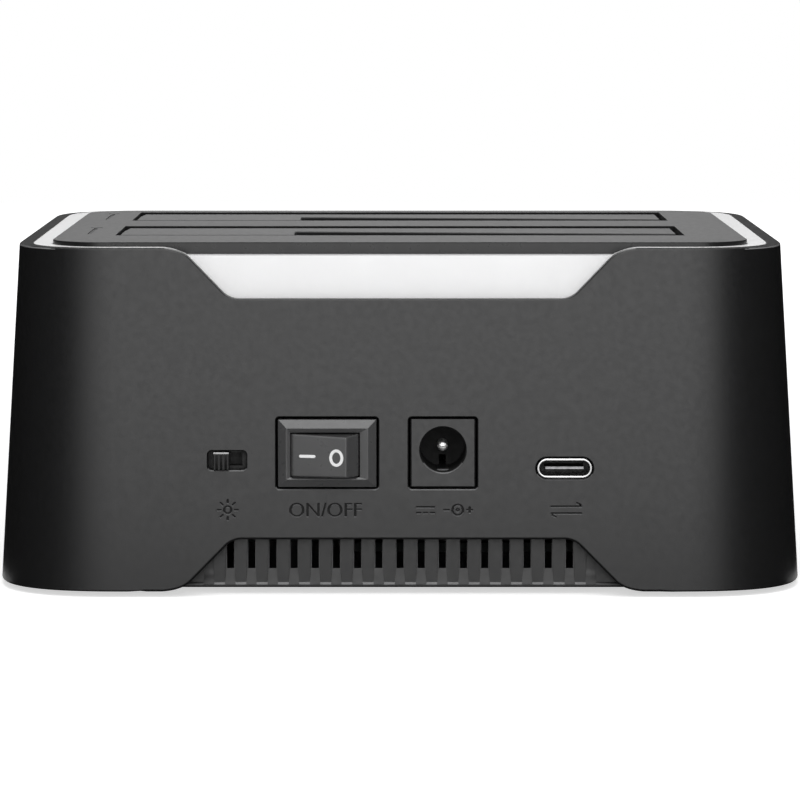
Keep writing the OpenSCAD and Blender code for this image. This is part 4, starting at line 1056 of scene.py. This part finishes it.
foot = {"radius": 6.0, "top": 2.2, "edge": 0.45, "dish": 3.6, "dishDeep": 0.35, "dishSlope": 0.3}


def makeFoot(row, hand, sx, sy):
    f, radius, edge = foot, foot["radius"], foot["edge"]
    outline = [(0, f["dishDeep"]), (f["dish"] - f["dishSlope"], f["dishDeep"]), (f["dish"], 0), (radius - edge, 0),
               (radius - edge * 0.3, edge * 0.3), (radius, edge), (radius, f["top"]), (0, f["top"])]
    bm = bmesh.new()
    spinOutline(bm, outline, (sx * tray["footX"], sy * tray["footY"], 0), (0, 0, 1), 48)
    finishPiece("foot" + row.title() + hand.title(), bm, ["rubber"], "housing",
                ["foot_" + row + "_" + hand])


for row, sy in (("rear", -1), ("front", 1)):
    for hand, sx in (("left", -1), ("right", 1)):
        makeFoot(row, hand, sx, sy)

screws = {"head": 2.5, "headZ": 1.4, "headHigh": 0.9, "shank": 1.2, "long": 8.0, "point": 0.6, "pointIn": 0.5,
          "dome": ((-0.5, 0), (-0.1, 0.25), (0, 0.5)), "crossLong": 2.6, "crossWide": 0.62, "crossDeep": 0.55}


def makeBaseScrews():
    s, head, shank, low = screws, screws["head"], screws["shank"], screws["headZ"]
    seat = low + s["headHigh"]
    end = seat + s["long"]
    outline = [(0, low)] + [(head + r, low + h) for r, h in s["dome"]]
    outline += [(head, seat), (shank, seat), (shank, end - s["point"]), (shank - s["pointIn"], end), (0, end)]
    bm, cutter = bmesh.new(), bmesh.new()
    for sx in (-1, 1):
        for row in bayRows.values():
            x, y = sx * tray["screwX"], bayMiddle(row)
            part = bmesh.new()
            spinOutline(part, outline, (x, y, 0), (0, 0, 1), 32)
            joinInto(bm, part)
            for a, b in ((s["crossLong"], s["crossWide"]), (s["crossWide"], s["crossLong"])):
                addBox(cutter, x - a / 2, x + a / 2, y - b / 2, y + b / 2, low - 1, low + s["crossDeep"])
    cutWith(bm, cutter, True)
    finishPiece("baseScrews", bm, ["blackSteel"], "housing", ["base_screws"])


makeBaseScrews()

# CAD nodes that stay in view keep their shape and take a finish

nodeFinish = {"rear_flap_pin": "steel", "front_flap_pin": "steel",
              "rear_drive_well": "well", "front_drive_well": "well",
              "main_board": "board", "port_board": "board", "board_link": "socket",
              "rear_sata_socket": "socket", "front_sata_socket": "socket",
              "rear_sata_contacts": "gold", "front_sata_contacts": "gold",
              "bridge_chip": "socket", "capacitor_a": "can", "capacitor_b": "can",
              "coil_a": "ferrite", "coil_b": "ferrite", "rocker_terminals": "steel", "switch_leads": "lead",
              "dc_jack_contact": "blackSteel", "slide_switch_body": "socket",
              "rear_light_strip": "strip", "front_light_strip": "strip",
              "board_screws": "blackSteel", "plate_screws": "blackSteel"}
for name, key in nodeFinish.items():
    mesh = nodes[name].data
    mesh.materials.clear()
    mesh.materials.append(finish[key])
left = [n for n, o in nodes.items() if not o.hide_render and n not in nodeFinish]
print("nodes dressed:", len(nodeFinish), "left plain:", left)


# stage, lights and camera, in metres

stageSet = {"floor": 1.2, "ambient": 0.13, "frontLight": 2.85, "topLight": 4.2, "backLight": 0.8,
            "sideLight": 0.35, "cardNear": 0.16, "cardHigh": 0.3, "cardBack": 0.62, "cardFront": -0.27,
            "cardFoot": 0.078, "cardLift": 0.0006, "glow": (0.6, 1.0), "glowReach": (0.15, 0.6)}


def seenRays(tree):
    path = tree.nodes.new("ShaderNodeLightPath")
    total = path.outputs["Is Camera Ray"]
    for kind in ("Is Glossy Ray", "Is Transmission Ray"):
        both = tree.nodes.new("ShaderNodeMath")
        both.operation, both.use_clamp = "ADD", True
        tree.links.new(total, both.inputs[0])
        tree.links.new(path.outputs[kind], both.inputs[1])
        total = both.outputs[0]
    return total


def stageSheet(name, bm, sheet, grey, rough, level):
    obj = meshObject(name, bm)
    material, tree, shader = startMaterial(sheet)
    setInputs(shader, {"Base Color": (grey, grey, grey, 1), "Roughness": rough, "Specular IOR Level": level})
    obj.data.materials.append(material)
    return obj, tree, shader


def makeFloor():
    bm = bmesh.new()
    bmesh.ops.create_grid(bm, x_segments=1, y_segments=1, size=stageSet["floor"])
    floor, tree, shader = stageSheet("floor", bm, "floorPaper", grey=0.85, rough=0.9, level=0.1)
    glow = tree.nodes.new("ShaderNodeMath")
    glow.operation = "MULTIPLY"
    coords = tree.nodes.new("ShaderNodeTexCoord")
    reach = tree.nodes.new("ShaderNodeVectorMath")
    reach.operation = "LENGTH"
    fade = tree.nodes.new("ShaderNodeMapRange")  # the paper runs out to white
    (near, far), (dim, full) = stageSet["glowReach"], stageSet["glow"]
    setInputs(fade, {"From Min": near, "From Max": far, "To Min": dim, "To Max": full})
    tree.links.new(coords.outputs["Object"], reach.inputs[0])
    tree.links.new(reach.outputs["Value"], fade.inputs["Value"])
    tree.links.new(seenRays(tree), glow.inputs[0])
    tree.links.new(fade.outputs[0], glow.inputs[1])
    setInputs(shader, {"Emission Color": (1, 1, 1, 1)})
    tree.links.new(glow.outputs[0], shader.inputs["Emission Strength"])


def makeWorld():
    world = bpy.data.worlds.new("studio")
    bpy.context.scene.world = world
    world.use_nodes = True
    tree = world.node_tree
    shade = tree.nodes["Background"]
    span = tree.nodes.new("ShaderNodeMapRange")
    setInputs(span, {"To Min": stageSet["ambient"], "To Max": 1})
    tree.links.new(seenRays(tree), span.inputs["Value"])
    setInputs(shade, {"Color": (1, 1, 1, 1)})
    tree.links.new(span.outputs[0], shade.inputs["Strength"])


def softbox(name, place, target, wide, high, level):
    light = bpy.data.lights.new(name, "AREA")
    light.shape, light.size, light.size_y = "RECTANGLE", wide, high
    light.energy = level * math.pi * wide * high
    lamp = bpy.data.objects.new(name, light)
    lamp.location = place
    lamp.rotation_euler = (Vector(target) - Vector(place)).to_track_quat("-Z", "Y").to_euler()
    lamp.visible_camera = False
    bpy.context.scene.collection.objects.link(lamp)


def darkCard(name, place, wide, high):
    bm = bmesh.new()
    size = Matrix.Diagonal((wide, high, 1, 1))
    bmesh.ops.create_grid(bm, x_segments=1, y_segments=1, size=0.5, matrix=place @ size)
    card = stageSheet(name, bm, name + "Cloth", grey=0.02, rough=1, level=0)[0]
    card.visible_camera, card.visible_shadow, card.visible_diffuse = False, False, False


def makeSideCards(name, side):
    s = stageSet
    near, foot = s["cardNear"], s["cardFoot"]
    long, at = s["cardBack"] - s["cardFront"], (s["cardBack"] + s["cardFront"]) / 2
    stand = Matrix.Translation((side * near, at, s["cardHigh"] / 2)) @ alongX
    lie = Matrix.Translation((side * (near + foot) / 2, at, s["cardLift"]))
    darkCard(name + "Card", stand, s["cardHigh"], long)
    darkCard(name + "FloorCard", lie, near - foot, long)


makeFloor()
makeWorld()
softbox("frontBox", place=(0.06, -1.1, 0.45), target=(0.06, 0, 0.45), wide=0.8, high=0.9,
        level=stageSet["frontLight"])
softbox("topBox", place=(0, -0.36, 0.74), target=(0, -0.04, 0.04), wide=0.42, high=0.5, level=stageSet["topLight"])
softbox("backBox", place=(0, 1.1, 0.75), target=(0, 0, 0.1), wide=1.2, high=0.7, level=stageSet["backLight"])
for name, side in (("left", -1), ("right", 1)):
    softbox(name + "Box", place=(side * 0.8, 0.1, 0.6), target=(0, 0, 0.03), wide=0.7, high=0.5,
            level=stageSet["sideLight"])
    makeSideCards(name, side)
darkCard("rearFloorCard", Matrix.Translation((0, -0.095, stageSet["cardLift"])), wide=0.32, high=0.1)

camera = {"lens": 177.35, "sensor": 36, "y": -0.7446, "z": 0.1071, "tilt": 6.0}
lens = bpy.data.cameras.new("camera")
lens.lens, lens.sensor_width = camera["lens"], camera["sensor"]
view = bpy.data.objects.new("camera", lens)
view.location = (0, camera["y"], camera["z"])
view.rotation_euler = (math.radians(90 - camera["tilt"]), 0, 0)
bpy.context.scene.collection.objects.link(view)
bpy.context.scene.camera = view
bpy.context.scene.view_settings.view_transform = "Standard"
print("stage, lights and camera ready")
